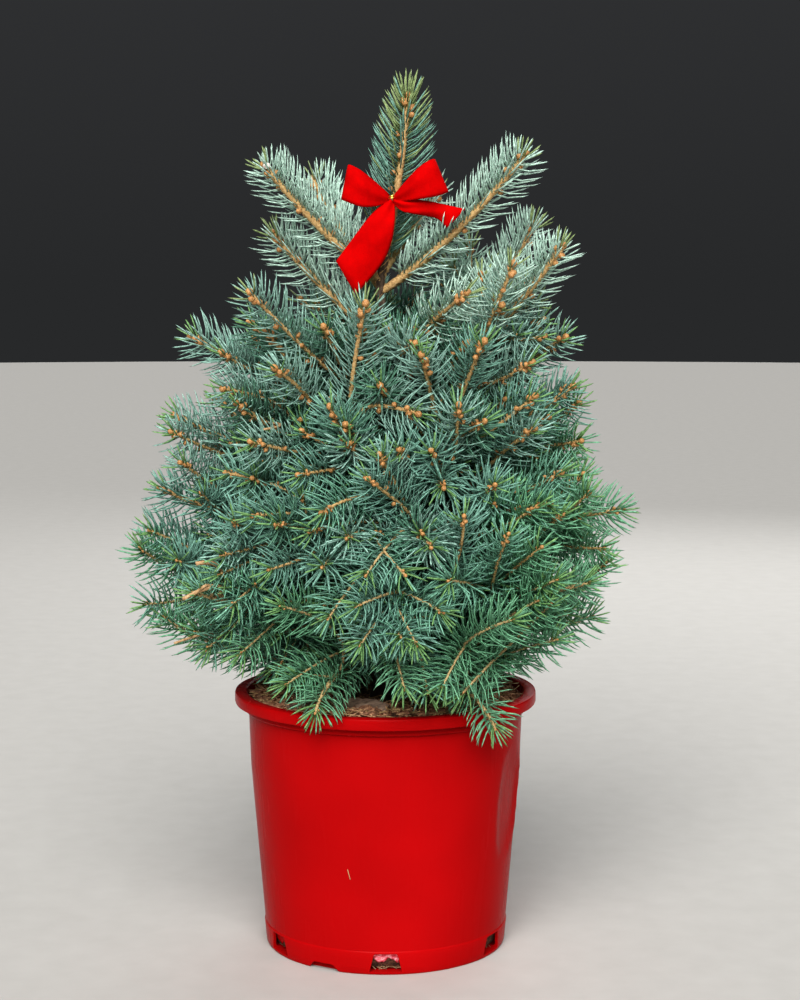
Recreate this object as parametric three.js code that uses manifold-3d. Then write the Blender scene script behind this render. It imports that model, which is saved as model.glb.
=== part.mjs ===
// Potted blue spruce: a young tree growing in a red nursery pot.
// Millimetres, +Z up. The origin is the centre of the pot's flat underside and -Y is the front.

import * as THREE from 'three';
import { mergeVertices } from 'three/addons/utils/BufferGeometryUtils.js';
import Module from 'manifold-3d';

const wasm = await Module();
wasm.setup();

// Clearance between neighbouring solids
const GAP = 0.3;

// Pot: a blown nursery pot with a rolled lip, a collar under it and a raised foot band
const POT_HEIGHT = 238;
const RIM_RADIUS = 140;
const LIP_HEIGHT = 11;
const LIP_WIDTH = 12;
const COLLAR_RADIUS = 131;
const COLLAR_HEIGHT = 6;
const WALL_TOP_RADIUS = 127.3;
const WALL_BEND_RADIUS = 125.3;
const WALL_BEND_HEIGHT = 169;
const FOOT_RADIUS = 111.2;
const FOOT_STEP = 0.8;
const FOOT_HEIGHT = 21;
const WALL_THICKNESS = 2.2;
const FLOOR_THICKNESS = 3.4;
const POT_SIDES = 30;

// Drain openings round the foot, and shallow notches under it
const DRAIN_COUNT = 6;
const DRAIN_WIDTH = 25;
const DRAIN_FLARE = 4;
const DRAIN_HEIGHT = 17;
const DRAIN_DEPTH = 14;
const NOTCH_COUNT = 3;
const NOTCH_WIDTH = 27;
const NOTCH_FLARE = 7;
const NOTCH_HEIGHT = 5;
const NOTCH_DEPTH = 22;
const NOTCH_ANGLE = -120;
const NOTCH_ROOF = 2.5;

// Dent pressed into the right-hand side of the wall
const DENT_ANGLE = -22;
const DENT_HEIGHT = 150;
const DENT_DEPTH = 3.5;
const DENT_HALF_ANGLE = 15;
const DENT_HALF_HEIGHT = 62;

// Potting mix inside the pot
const MIX_LEVEL = 227;
const MIX_LUMP = 3;
const SEAT_RADIUS = 24;

// Trunk, from its cut on the mix to the bud of the leader
const TRUNK_FOOT = MIX_LEVEL + GAP;
const TRUNK_TOP = 780;
const WHORL_HEIGHT = 617;
const FLARE_RADIUS = 17;
const FLARE_HEIGHT = 22;
const TRUNK_RADIUS = 10.5;
const LEADER_ROOT_RADIUS = 4.2;
const LEADER_TIP_RADIUS = 2;
const TRUNK_BOW = -4.5;
const LEADER_LEAN = 25;
const TRUNK_SIDES = 8;
const TRUNK_STEP = 48;

// Needles on the leader grow from a thin sleeve round the trunk's tip
const LEADER_NEEDLES_FOOT = 645;
const SLEEVE_WALL = 1.5;
const SLEEVE_CAP = 5;
const SLEEVE_SIDES = 6;

// Boughs and twigs. The limbs of a tier leave the trunk at heights spread over a short stretch.
const TIER_SPREAD = 24;
const GOLDEN_SHARE = 0.618;
const BOUGH_ROOT_RADIUS = 4;
const BOUGH_END_RADIUS = 3.1;
const BOUGH_SIDES = 5;
const STEM_RADIUS = 5.2;
const TWIG_RADIUS = 4.8;
const SUNK_SHARE = 0.62;
const TIP_RADIUS = 3;
const NODE_STEP = 7;
const SHORTEST_TWIG = 30;
const FORKED_TWIG = 84;
const TWIG_TRIMS = [1, 0.85, 0.7, 0.55, 0.4];

// How twigs leave a node: their turn from the stem's heading, their roll round it (0 is to the
// left and 90 upwards), and their length as a share of what the stem has grown since that node
const WAYS = [
  { turn: 52, roll: 12, length: 0.8 },
  { turn: 52, roll: 168, length: 0.8 },
  { turn: 44, roll: 95, length: 0.55 },
  { turn: 46, roll: 268, length: 0.48 },
];

// Needles, fewer and larger than life. A twig is a three-sided shaft in steps, each turned
// against the last, and every other facet of a step is drawn out to a needle's point.
const NEEDLE_LENGTH = 28;
const NEEDLE_STEP = 30;
const NEEDLE_LEAN = 48;
const TIP_LEAN = 12;
const TIP_SHARE = 0.62;

// Clear air kept round a twig where its mass meets the next one, a limb or the pot
const SPACE_MARGIN = 3.4;
const LIMB_MARGIN = 2.4;

// Tiers of limbs from the rim up: the height where they leave the trunk, how many yearly
// stretches each has, how far out it bends and how much it lifts there, then for each limb
// its direction in degrees from +X, its reach from the axis and the height of its tip.
const TIERS = [
  {
    name: 'rim', root: 268, years: 3, bend: 0.78, lift: 14, hasBough: true,
    limbs: [[-171, 205, 310], [-116, 158, 250], [-54, 162, 228], [-2, 192, 306], [58, 185, 292],
      [122, 190, 298]],
  },
  {
    name: 'wide', root: 325, years: 3, bend: 0.55, lift: 2, hasBough: true,
    limbs: [[-144, 206, 346], [-86, 186, 318], [-30, 206, 352], [26, 212, 372], [90, 205, 356],
      [168, 220, 366]],
  },
  {
    name: 'middle', root: 388, years: 3, bend: 0.5, lift: 4, hasBough: true,
    limbs: [[-171, 206, 428], [-120, 184, 410], [-80, 178, 404], [-42, 190, 424], [-4, 218, 406],
      [52, 200, 430], [114, 200, 432]],
  },
  {
    name: 'upper', root: 448, years: 2, bend: 0.5, lift: 6, hasBough: false,
    limbs: [[180, 192, 492], [-146, 156, 508], [-102, 160, 494], [-60, 166, 496], [-14, 172, 520],
      [50, 172, 510], [115, 174, 512]],
  },
  {
    name: 'high', root: 505, years: 2, bend: 0.42, lift: 14, hasBough: false,
    limbs: [[-118, 140, 592], [-68, 112, 594], [-20, 166, 644], [30, 164, 668], [100, 138, 632],
      [172, 180, 563]],
  },
  {
    name: 'top', root: WHORL_HEIGHT, years: 1, bend: 0.5, lift: 40, hasBough: false,
    limbs: [[-6, 134, 727], [62, 106, 696], [130, 104, 710], [160, 110, 658], [190, 114, 714]],
  },
];

const RED_PLASTIC = { color: 0xb80b0f, roughness: 0.34, metalness: 0 };
const DARK_MIX = { color: 0x3a2a20, roughness: 0.95, metalness: 0 };
const GREY_BARK = { color: 0x5b4a3c, roughness: 0.9, metalness: 0 };
const TAN_BARK = { color: 0x9a6f42, roughness: 0.85, metalness: 0 };
const BLUE_NEEDLES = { color: 0x6f9390, roughness: 0.7, metalness: 0 };

const UP = new THREE.Vector3(0, 0, 1);
const SHAFT_AXIS = new THREE.Vector3(0, 1, 0);
const tree = new THREE.Group();

function radians(degrees) {
  return THREE.MathUtils.degToRad(degrees);
}

// A repeatable fraction from 0 to 1 for a numbered choice
function chance(a, b, c) {
  const wave = Math.sin(a * 12.9898 + b * 78.233 + c * 37.719) * 43758.5453;
  return wave - Math.floor(wave);
}

function mixed(low, high, fraction) {
  return low + (high - low) * fraction;
}

// Solids for joins and cuts

function welded(geometry) {
  const bare = geometry.index ? geometry.clone() : geometry;
  bare.deleteAttribute('normal');
  bare.deleteAttribute('uv');
  return mergeVertices(bare, 1e-4);
}

function solid(geometry) {
  const closed = welded(geometry);
  const mesh = new wasm.Mesh({
    numProp: 3,
    vertProperties: new Float32Array(closed.attributes.position.array),
    triVerts: new Uint32Array(closed.index.array),
  });
  return new wasm.Manifold(mesh);
}

function geometryOf(body) {
  const mesh = body.getMesh();
  const geometry = new THREE.BufferGeometry();
  geometry.setAttribute('position', new THREE.BufferAttribute(mesh.vertProperties, 3));
  geometry.setIndex(new THREE.BufferAttribute(mesh.triVerts, 1));
  geometry.computeVertexNormals();
  return geometry;
}

// What is left of a cut body without the scraps that the cut sets loose
function largestPiece(body) {
  return body.decompose().reduce((most, piece) => (piece.volume() > most.volume() ? piece : most));
}

function addNode(name, geometry, finish) {
  const mesh = new THREE.Mesh(geometry, new THREE.MeshStandardMaterial(finish));
  mesh.name = name;
  tree.add(mesh);
}

// A lathe turned round +Z from a profile of [radius, height] points
function turned(profile, sides) {
  const points = profile.map(([radius, height]) => new THREE.Vector2(radius, height));
  const geometry = new THREE.LatheGeometry(points, sides);
  geometry.rotateX(Math.PI / 2);
  return geometry;
}

function moveVertices(geometry, move) {
  const position = geometry.attributes.position;
  const point = new THREE.Vector3();
  for (let i = 0; i < position.count; i += 1) {
    point.fromBufferAttribute(position, i);
    move(point);
    position.setXYZ(i, point.x, point.y, point.z);
  }
  return geometry;
}

// Pot

function outerWallRadius(height) {
  if (height < WALL_BEND_HEIGHT) {
    return mixed(FOOT_RADIUS, WALL_BEND_RADIUS, height / WALL_BEND_HEIGHT);
  }
  const collarFoot = POT_HEIGHT - LIP_HEIGHT - COLLAR_HEIGHT;
  const rise = (height - WALL_BEND_HEIGHT) / (collarFoot - WALL_BEND_HEIGHT);
  return mixed(WALL_BEND_RADIUS, WALL_TOP_RADIUS, Math.min(rise, 1));
}

// Heights of the wall's rings, close together where the dent is
function wallHeights() {
  const heights = [FOOT_HEIGHT + FOOT_STEP];
  for (const share of [-1, 0, 1]) {
    heights.push(DENT_HEIGHT + share * DENT_HALF_HEIGHT);
  }
  return heights;
}

function dentAngle(point) {
  return Math.abs(THREE.MathUtils.radToDeg(Math.atan2(point.y, point.x)) - DENT_ANGLE);
}

function movedInwards(point, depth) {
  const radius = Math.hypot(point.x, point.y);
  if (radius > depth) {
    point.x *= 1 - depth / radius;
    point.y *= 1 - depth / radius;
  }
}

function pressDent(point) {
  const across = Math.min(dentAngle(point) / DENT_HALF_ANGLE, 1);
  const along = Math.min(Math.abs(point.z - DENT_HEIGHT) / DENT_HALF_HEIGHT, 1);
  movedInwards(point, DENT_DEPTH * Math.cos((across * Math.PI) / 2) * Math.cos((along * Math.PI) / 2));
}

// A trapezoid that widens downwards, between two radii at an angle round the pot
function footBlock(width, flare, low, high, inner, outer, degrees) {
  const outline = new THREE.Shape();
  outline.moveTo(-width / 2 - flare / 2, low);
  outline.lineTo(width / 2 + flare / 2, low);
  outline.lineTo(width / 2 - flare / 2, high);
  outline.lineTo(-width / 2 + flare / 2, high);
  outline.closePath();
  const block = new THREE.ExtrudeGeometry(outline, { depth: outer - inner, bevelEnabled: false });
  block.rotateX(Math.PI / 2);
  block.rotateZ(Math.PI / 2);
  block.translate(inner, 0, 0);
  block.rotateZ(radians(degrees));
  return solid(block);
}

function potGeometry() {
  const lipFoot = POT_HEIGHT - LIP_HEIGHT;
  const collarFoot = lipFoot - COLLAR_HEIGHT;
  const outside = [
    [0, 0],
    [FOOT_RADIUS - 2, 0],
    [FOOT_RADIUS + FOOT_STEP, 2],
    [outerWallRadius(FOOT_HEIGHT) + FOOT_STEP, FOOT_HEIGHT],
  ];
  for (const height of wallHeights()) {
    outside.push([outerWallRadius(height), height]);
  }
  outside.push([WALL_TOP_RADIUS, collarFoot - 1.5]);
  outside.push([COLLAR_RADIUS, collarFoot]);
  outside.push([COLLAR_RADIUS, lipFoot]);
  outside.push([RIM_RADIUS - 1, lipFoot]);
  outside.push([RIM_RADIUS, lipFoot + 1.5]);
  outside.push([RIM_RADIUS, POT_HEIGHT - 2]);
  outside.push([RIM_RADIUS - 2, POT_HEIGHT]);
  const inside = [
    [RIM_RADIUS - LIP_WIDTH, POT_HEIGHT],
    [WALL_TOP_RADIUS - WALL_THICKNESS, lipFoot],
  ];
  for (const height of wallHeights().reverse()) {
    inside.push([outerWallRadius(height) - WALL_THICKNESS, height]);
  }
  inside.push([FOOT_RADIUS - WALL_THICKNESS, FLOOR_THICKNESS]);
  inside.push([0, FLOOR_THICKNESS]);
  const wall = moveVertices(turned([...outside, ...inside], POT_SIDES), pressDent);
  let body = solid(wall);
  const outer = FOOT_RADIUS + DRAIN_DEPTH;
  for (let i = 0; i < DRAIN_COUNT; i += 1) {
    const degrees = -90 + (i * 360) / DRAIN_COUNT;
    const low = FLOOR_THICKNESS - 0.6;
    const high = low + DRAIN_HEIGHT;
    const inner = FOOT_RADIUS - DRAIN_DEPTH;
    body = body.subtract(footBlock(DRAIN_WIDTH, DRAIN_FLARE, low, high, inner, outer, degrees));
  }
  for (let i = 0; i < NOTCH_COUNT; i += 1) {
    const degrees = NOTCH_ANGLE + (i * 360) / NOTCH_COUNT;
    const inner = FOOT_RADIUS - NOTCH_DEPTH;
    const roof = NOTCH_HEIGHT + NOTCH_ROOF;
    const wide = NOTCH_WIDTH + 8;
    body = body.add(footBlock(wide, NOTCH_FLARE, 1, roof, inner - 3, FOOT_RADIUS - 3, degrees));
    body = body.subtract(footBlock(NOTCH_WIDTH, NOTCH_FLARE, -1, NOTCH_HEIGHT, inner, outer, degrees));
  }
  return geometryOf(body);
}

// Potting mix

function mixGeometry() {
  const inner = (height) => outerWallRadius(height) - WALL_THICKNESS - GAP;
  const floor = FLOOR_THICKNESS + GAP;
  const overNotches = NOTCH_HEIGHT + NOTCH_ROOF + 1;
  const notchStart = FOOT_RADIUS - NOTCH_DEPTH - 7;
  const profile = [[0, floor], [notchStart - 3, floor], [notchStart, overNotches]];
  profile.push([FOOT_RADIUS - WALL_THICKNESS - 2, overNotches]);
  for (const height of wallHeights()) {
    profile.push([inner(height), height]);
  }
  profile.push([inner(MIX_LEVEL) - 0.6, MIX_LEVEL - 5]);
  for (const share of [0.8, 0.6, 0.4]) {
    profile.push([inner(MIX_LEVEL) * share, MIX_LEVEL]);
  }
  profile.push([SEAT_RADIUS, MIX_LEVEL]);
  profile.push([0, MIX_LEVEL]);
  const geometry = turned(profile, POT_SIDES);
  return moveVertices(geometry, (point) => {
    const radius = Math.hypot(point.x, point.y);
    const angle = Math.atan2(point.y, point.x);
    if (point.z > MIX_LEVEL - 1 && radius > SEAT_RADIUS + 1) {
      const wave = Math.sin(3 * angle + radius / 17) + Math.cos(7 * angle - radius / 9);
      point.z += (MIX_LUMP * wave) / 2;
    }
    const inDent = dentAngle(point) < DENT_HALF_ANGLE + 360 / POT_SIDES;
    if (inDent && Math.abs(point.z - DENT_HEIGHT) <= DENT_HALF_HEIGHT) {
      movedInwards(point, DENT_DEPTH);
    }
  });
}

// Trunk

function trunkPoint(height) {
  const share = THREE.MathUtils.clamp((height - TRUNK_FOOT) / (WHORL_HEIGHT - TRUNK_FOOT), 0, 1);
  const above = Math.max(0, (height - WHORL_HEIGHT) / (TRUNK_TOP - WHORL_HEIGHT));
  const x = TRUNK_BOW * share + LEADER_LEAN * (1.5 * above - 0.5 * above ** 2);
  return new THREE.Vector3(x, 0, height);
}

function trunkRadius(height) {
  const flare = Math.max(0, 1 - (height - TRUNK_FOOT) / FLARE_HEIGHT);
  const share = THREE.MathUtils.clamp((height - TRUNK_FOOT) / (WHORL_HEIGHT - TRUNK_FOOT), 0, 1);
  const above = Math.max(0, (height - WHORL_HEIGHT) / (TRUNK_TOP - WHORL_HEIGHT));
  const stem = mixed(TRUNK_RADIUS, LEADER_ROOT_RADIUS, share);
  const leader = (LEADER_ROOT_RADIUS - LEADER_TIP_RADIUS) * above;
  return stem - leader + (FLARE_RADIUS - TRUNK_RADIUS) * flare ** 2;
}

// The trunk's solid, or that solid grown by a clearance for cutting what grows out of it
function trunkGeometry(clearance) {
  const heights = [TRUNK_FOOT, TRUNK_FOOT + FLARE_HEIGHT / 3, TRUNK_FOOT + FLARE_HEIGHT];
  for (let height = TRUNK_FOOT + TRUNK_STEP; height < TRUNK_TOP - 6; height += TRUNK_STEP) {
    heights.push(height);
  }
  heights.push(TRUNK_TOP - 6);
  const profile = heights.map((height) => [trunkRadius(height) + clearance, height]);
  profile.unshift([0, TRUNK_FOOT - clearance]);
  profile[1][1] -= clearance;
  profile.push([0, TRUNK_TOP + clearance]);
  return moveVertices(turned(profile, TRUNK_SIDES), (point) => {
    point.x += trunkPoint(point.z).x;
  });
}

// Limbs

function makeLimb(tier, index, [degrees, reach, tip], number) {
  const heading = new THREE.Vector3(Math.cos(radians(degrees)), Math.sin(radians(degrees)), 0);
  const place = (index * GOLDEN_SHARE) % 1;
  const root = trunkPoint(tier.root + TIER_SPREAD * (place - 0.5));
  const bend = root.clone().addScaledVector(heading, reach * tier.bend);
  bend.z += tier.lift;
  const end = heading.clone().multiplyScalar(reach).setZ(tip);
  const curve = new THREE.QuadraticBezierCurve3(root, bend, end);
  return {
    number,
    curve,
    years: tier.years,
    hasBough: tier.hasBough,
    boughName: `${tier.name}_bough_${index + 1}`,
    massName: `${tier.name}_mass_${index + 1}`,
    across: new THREE.Vector3().crossVectors(UP, heading),
    length: curve.getLength(),
    line: curve.getSpacedPoints(14),
  };
}

const limbs = [];
for (const tier of TIERS) {
  tier.limbs.forEach((row, index) => limbs.push(makeLimb(tier, index, row, limbs.length + 1)));
}

function trunkLine(from, to) {
  const line = [];
  for (let height = from; height < to; height += 15) {
    line.push(trunkPoint(height));
  }
  line.push(trunkPoint(to));
  return line;
}

const wholeTrunk = trunkLine(TRUNK_FOOT, TRUNK_TOP);
const leader = { line: trunkLine(LEADER_NEEDLES_FOOT, TRUNK_TOP) };

// Bends a shaft that stands along Y from -0.5 to 0.5 onto a stretch of a curve
function laidAlong(geometry, { curve, across, from, to }) {
  return moveVertices(geometry, (point) => {
    const share = mixed(from, to, point.y + 0.5);
    const upward = new THREE.Vector3().crossVectors(curve.getTangentAt(share), across);
    const centre = curve.getPointAt(share);
    centre.addScaledVector(across, point.x).addScaledVector(upward, -point.z);
    point.copy(centre);
  });
}

function boughGeometry(limb, trunkSpace) {
  const bough = new THREE.CylinderGeometry(BOUGH_END_RADIUS, BOUGH_ROOT_RADIUS, 1, BOUGH_SIDES, 2);
  const stretch = { curve: limb.curve, across: limb.across, from: 0, to: 1 / limb.years };
  return geometryOf(solid(laidAlong(bough, stretch)).subtract(trunkSpace));
}

// Space that each mass keeps to: nearer to its own limb than to any other, clear of the
// trunk and of the pot

const segment = new THREE.Line3();
const nearest = new THREE.Vector3();

function distanceToLine(point, line) {
  let best = Infinity;
  for (let i = 1; i < line.length; i += 1) {
    segment.set(line[i - 1], line[i]);
    segment.closestPointToPoint(point, true, nearest);
    best = Math.min(best, nearest.distanceTo(point));
  }
  return best;
}

function clearOfPot(point, margin) {
  const radius = Math.hypot(point.x, point.y);
  const inRim = radius < RIM_RADIUS - LIP_WIDTH - margin;
  const overMix = point.z > MIX_LEVEL + MIX_LUMP + margin;
  return (inRim && overMix) || point.z > POT_HEIGHT + margin || radius > RIM_RADIUS + margin;
}

function inSpace(point, limb, margin) {
  if (!clearOfPot(point, margin)) {
    return false;
  }
  if (limb !== leader && distanceToLine(point, wholeTrunk) < trunkRadius(point.z) + margin) {
    return false;
  }
  const own = distanceToLine(point, limb.line);
  const others = limb === leader ? limbs : [leader, ...limbs];
  return others.every((other) => other === limb || distanceToLine(point, other.line) > own + margin);
}

// Twigs

function twigFits(from, to, limb) {
  return [0.3, 0.45, 0.6, 0.75, 0.9, 1].every((share) => {
    const point = from.clone().lerp(to, share);
    return inSpace(point, limb, SPACE_MARGIN);
  });
}

function straightTwig(from, to, seed) {
  const curve = new THREE.LineCurve3(from, to);
  const across = new THREE.Vector3().crossVectors(UP, curve.getTangentAt(0)).normalize();
  const forked = curve.getLength() > FORKED_TWIG;
  const bare = forked ? 0.4 : 0.25;
  return { curve, across, from: 0, to: 1, radius: TWIG_RADIUS, tip: TIP_RADIUS, sides: 3, seed, bare };
}

// The twigs that leave a stem at one node, each shortened until it fits or left out. A long
// one forks again half way along.
function twigsFrom(stem, share, ways, seed, limb) {
  const heading = stem.curve.getTangentAt(share);
  const upward = new THREE.Vector3().crossVectors(heading, stem.across);
  const from = stem.curve.getPointAt(share);
  const grown = stem.curve.getLength() * (1 - share);
  const twigs = [];
  ways.forEach((way, index) => {
    const number = seed * 4 + index;
    const turn = radians(way.turn + mixed(-8, 8, chance(number, 1, 1)));
    const roll = radians(way.roll + mixed(-15, 15, chance(number, 1, 2)));
    const direction = heading.clone().multiplyScalar(Math.cos(turn));
    direction.addScaledVector(stem.across, Math.sin(turn) * Math.cos(roll));
    direction.addScaledVector(upward, Math.sin(turn) * Math.sin(roll));
    const wanted = grown * way.length * mixed(0.88, 1.12, chance(number, 1, 3));
    const ends = TWIG_TRIMS.filter((trim) => wanted * trim >= SHORTEST_TWIG).map((trim) => {
      return from.clone().addScaledVector(direction, wanted * trim);
    });
    const end = ends.find((to) => twigFits(from, to, limb));
    if (end) {
      const twig = straightTwig(from, end, number);
      twigs.push(twig);
      if (twig.curve.getLength() > FORKED_TWIG) {
        twigs.push(...twigsFrom(twig, 0.5, ways.slice(0, 2), number, limb));
      }
    }
  });
  return twigs;
}

// A facet drawn out to a needle's point, or left as it is where that would leave the space
function drawnOut(facet, direction, outwards, length, limb) {
  const centre = new THREE.Vector3();
  facet.forEach((corner) => centre.addScaledVector(corner, 1 / 3));
  const point = centre.clone().addScaledVector(direction, length * Math.cos(outwards.lean));
  point.addScaledVector(outwards.radial, length * Math.sin(outwards.lean));
  const samples = [0.4, 0.7, 1].map((share) => centre.clone().lerp(point, share));
  if (!samples.every((sample) => inSpace(sample, limb, LIMB_MARGIN))) {
    return [facet];
  }
  return facet.map((corner, i) => [corner, facet[(i + 1) % 3], point]);
}

// A stretch of twig with its needles, closed at both ends
function sprayGeometry(twig, limb) {
  const { curve, across, from, to, seed, bare, sides } = twig;
  const length = curve.getLength() * (to - from);
  const steps = Math.max(2, Math.round(length / NEEDLE_STEP));
  const start = 360 * chance(seed, 2, 0);
  const shaft = new THREE.CylinderGeometry(twig.tip, twig.radius, 1, sides, steps);
  moveVertices(shaft, (point) => {
    const step = Math.round((point.y + 0.5) * steps);
    point.applyAxisAngle(SHAFT_AXIS, radians(start - (step * 180) / sides));
  });
  const corners = laidAlong(shaft, twig).toNonIndexed().attributes.position;
  const facets = [];
  for (let number = 0; number < corners.count / 3; number += 1) {
    const facet = [0, 1, 2].map((i) => {
      return new THREE.Vector3().fromBufferAttribute(corners, number * 3 + i);
    });
    const onSide = number < 2 * sides * steps;
    const onTip = !onSide && number < 2 * sides * steps + sides;
    const share = onSide ? 1 - (Math.floor((number / 2) % steps) + 0.5) / steps : 1;
    const direction = curve.getTangentAt(mixed(from, to, share));
    const radial = facet[0].clone().add(facet[2]).multiplyScalar(0.5);
    radial.sub(curve.getPointAt(mixed(from, to, Math.min(1, share + 0.5 / steps))));
    radial.addScaledVector(direction, -radial.dot(direction)).normalize();
    const size = NEEDLE_LENGTH * mixed(0.85, 1.08, chance(seed, 3, number));
    if (onSide && number % 2 === 0 && share > bare) {
      const lean = radians(NEEDLE_LEAN);
      facets.push(...drawnOut(facet, direction, { radial, lean }, size, limb));
    } else if (onTip && number % 2 === 0) {
      const lean = radians(TIP_LEAN);
      facets.push(...drawnOut(facet, direction, { radial, lean }, size * TIP_SHARE, limb));
    } else {
      facets.push(facet);
    }
  }
  return new THREE.BufferGeometry().setFromPoints(facets.flat());
}

function massGeometry(limb, trunkSpace) {
  const start = limb.hasBough ? 1 / limb.years + GAP / limb.length : 0;
  const stem = {
    curve: limb.curve,
    across: limb.across,
    from: start,
    to: 1,
    radius: Math.min(STEM_RADIUS, SUNK_SHARE * trunkRadius(limb.line[0].z)),
    tip: TIP_RADIUS,
    sides: 3,
    seed: limb.number * 20 + 19,
    bare: limb.hasBough ? 0.1 : 0.25,
  };
  let body = solid(sprayGeometry(stem, limb));
  for (let year = 1; year < limb.years; year += 1) {
    const node = year / limb.years + NODE_STEP / limb.length;
    for (const twig of twigsFrom(limb, node, WAYS, limb.number * 4 + year, limb)) {
      body = body.add(solid(sprayGeometry(twig, limb)));
    }
  }
  return geometryOf(limb.hasBough ? body : largestPiece(body.subtract(trunkSpace)));
}

// Needles round the leader, standing out of a thin sleeve that the trunk's tip fits into
function leaderGeometry(trunkSpace) {
  const heights = [0, 0.25, 0.5, 0.75, 1].map((share) => {
    return mixed(LEADER_NEEDLES_FOOT, TRUNK_TOP + SLEEVE_CAP, share);
  });
  const sleeve = {
    curve: new THREE.CatmullRomCurve3(heights.map(trunkPoint)),
    across: SHAFT_AXIS,
    from: 0,
    to: 1,
    radius: (trunkRadius(LEADER_NEEDLES_FOOT) + GAP + SLEEVE_WALL) / Math.cos(Math.PI / SLEEVE_SIDES),
    tip: (LEADER_TIP_RADIUS + GAP + SLEEVE_WALL) / Math.cos(Math.PI / SLEEVE_SIDES),
    sides: SLEEVE_SIDES,
    seed: 1,
    bare: 0,
  };
  return geometryOf(largestPiece(solid(sprayGeometry(sleeve, leader)).subtract(trunkSpace)));
}

// The plant and its pot

const trunkSpace = solid(trunkGeometry(GAP));
addNode('pot', potGeometry(), RED_PLASTIC);
addNode('potting_mix', mixGeometry(), DARK_MIX);
addNode('trunk', trunkGeometry(0), GREY_BARK);
for (const limb of limbs) {
  if (limb.hasBough) {
    addNode(limb.boughName, boughGeometry(limb, trunkSpace), TAN_BARK);
  }
  addNode(limb.massName, massGeometry(limb, trunkSpace), BLUE_NEEDLES);
}
addNode('leader_mass', leaderGeometry(trunkSpace), BLUE_NEEDLES);

export default tree;
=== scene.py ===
"""Potted blue spruce: a young tree in a red nursery pot, with a red bow on its leader.

Metres, +Z up. The origin is the centre of the pot's flat underside and -Y is the front.
"""

import math

import bmesh
import bpy
import numpy as np
from mathutils import Matrix, Vector, noise
from mathutils.bvhtree import BVHTree


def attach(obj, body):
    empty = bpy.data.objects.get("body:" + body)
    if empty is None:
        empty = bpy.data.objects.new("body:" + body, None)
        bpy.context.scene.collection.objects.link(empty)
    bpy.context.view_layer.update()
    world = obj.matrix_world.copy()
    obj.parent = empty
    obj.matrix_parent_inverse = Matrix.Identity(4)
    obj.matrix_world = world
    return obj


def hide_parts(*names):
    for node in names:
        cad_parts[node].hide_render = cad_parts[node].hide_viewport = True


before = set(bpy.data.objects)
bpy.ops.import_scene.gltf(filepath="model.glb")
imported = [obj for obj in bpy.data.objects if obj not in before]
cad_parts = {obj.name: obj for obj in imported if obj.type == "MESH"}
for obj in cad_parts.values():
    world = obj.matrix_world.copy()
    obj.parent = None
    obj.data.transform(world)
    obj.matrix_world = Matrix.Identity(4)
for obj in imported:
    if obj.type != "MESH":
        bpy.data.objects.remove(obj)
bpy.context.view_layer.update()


# Camera: it stands 1.9 m in front of the pot at the height of the crown's middle and looks
# slightly down, as the photographer did.
def in_scene(name, data):
    """A new object of the scene, at the origin."""
    thing = bpy.data.objects.new(name, data)
    bpy.context.scene.collection.objects.link(thing)
    return thing


camera_data = bpy.data.cameras.new("camera")
camera_data.sensor_width = 36
camera_data.lens = 73.62
camera = in_scene("camera", camera_data)
camera.location = (0, -1.8788, 0.6151)
camera.rotation_euler = (math.radians(90 - 6.108), 0, math.radians(-0.414))
bpy.context.scene.camera = camera

# Pot: a nursery pot blown from glossy red plastic, with a thick rolled lip, a collar under it
# and a raised foot band. Its wall has been knocked in on the right, which left a lens-shaped
# dent with a sharp crease.
MM = 0.001
POT_HEIGHT = 238 * MM
RIM_RADIUS = 140 * MM
COLLAR_FOOT = 221 * MM
WALL_BEND_HEIGHT = 169 * MM
FOOT_HEIGHT = 21 * MM
FOOT_WALL, BEND_WALL, COLLAR_WALL = 111.2, 125.3, 127.3
WALL_THICKNESS, FLOOR_THICKNESS = 2.2, 3.4
BAND_STEP = 0.8
RING_STEP, RING_COUNT = 5.6, 36
POT_SEGMENTS = 216
DENT_ANGLE = -20
DENT_HEIGHT = 141 * MM
DENT_DEPTH = 4.6 * MM
DENT_HALF_ANGLE = 14
DENT_HALF_HEIGHT = 52 * MM
DENT_LEAN = 0.35
CREASE_PLACE, CREASE_WIDTH, CREASE_RISE = 0.93, 0.09, 1.1 * MM
DRAIN_ANGLES = [-90, -30, 30, 90, 150, 210]
NOTCH_ANGLES = [-120, 0, 120]


def mixed(low, high, share):
    return low + (high - low) * share


def clamped(share):
    return min(1, max(0, share))


def wall_radius(height):
    """The outside of the pot's wall, which rises steeper above its bend."""
    if height < WALL_BEND_HEIGHT:
        return mixed(FOOT_WALL, BEND_WALL, height / WALL_BEND_HEIGHT) * MM
    rise = (height - WALL_BEND_HEIGHT) / (COLLAR_FOOT - WALL_BEND_HEIGHT)
    return mixed(BEND_WALL, COLLAR_WALL, min(rise, 1)) * MM


def wall_at(height):
    """The same in millimetres, for profiles."""
    return wall_radius(height * MM) / MM


def show(name, mesh, material, slot, *replaced):
    """A new piece at the origin, riding on the plant's one body, in place of the nodes replaced."""
    piece = in_scene(name, mesh)
    mesh.materials.append(material)
    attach(piece, "root")
    if replaced:
        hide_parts(*replaced)
    return piece


def finished(shape, name, smooth_angle=40):
    """A mesh from a bmesh, with its faces outwards and smooth up to an angle."""
    bmesh.ops.recalc_face_normals(shape, faces=shape.faces)
    mesh = bpy.data.meshes.new(name)
    shape.to_mesh(mesh)
    shape.free()
    mesh.shade_smooth()
    mesh.set_sharp_from_angle(angle=math.radians(smooth_angle))
    return mesh


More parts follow.
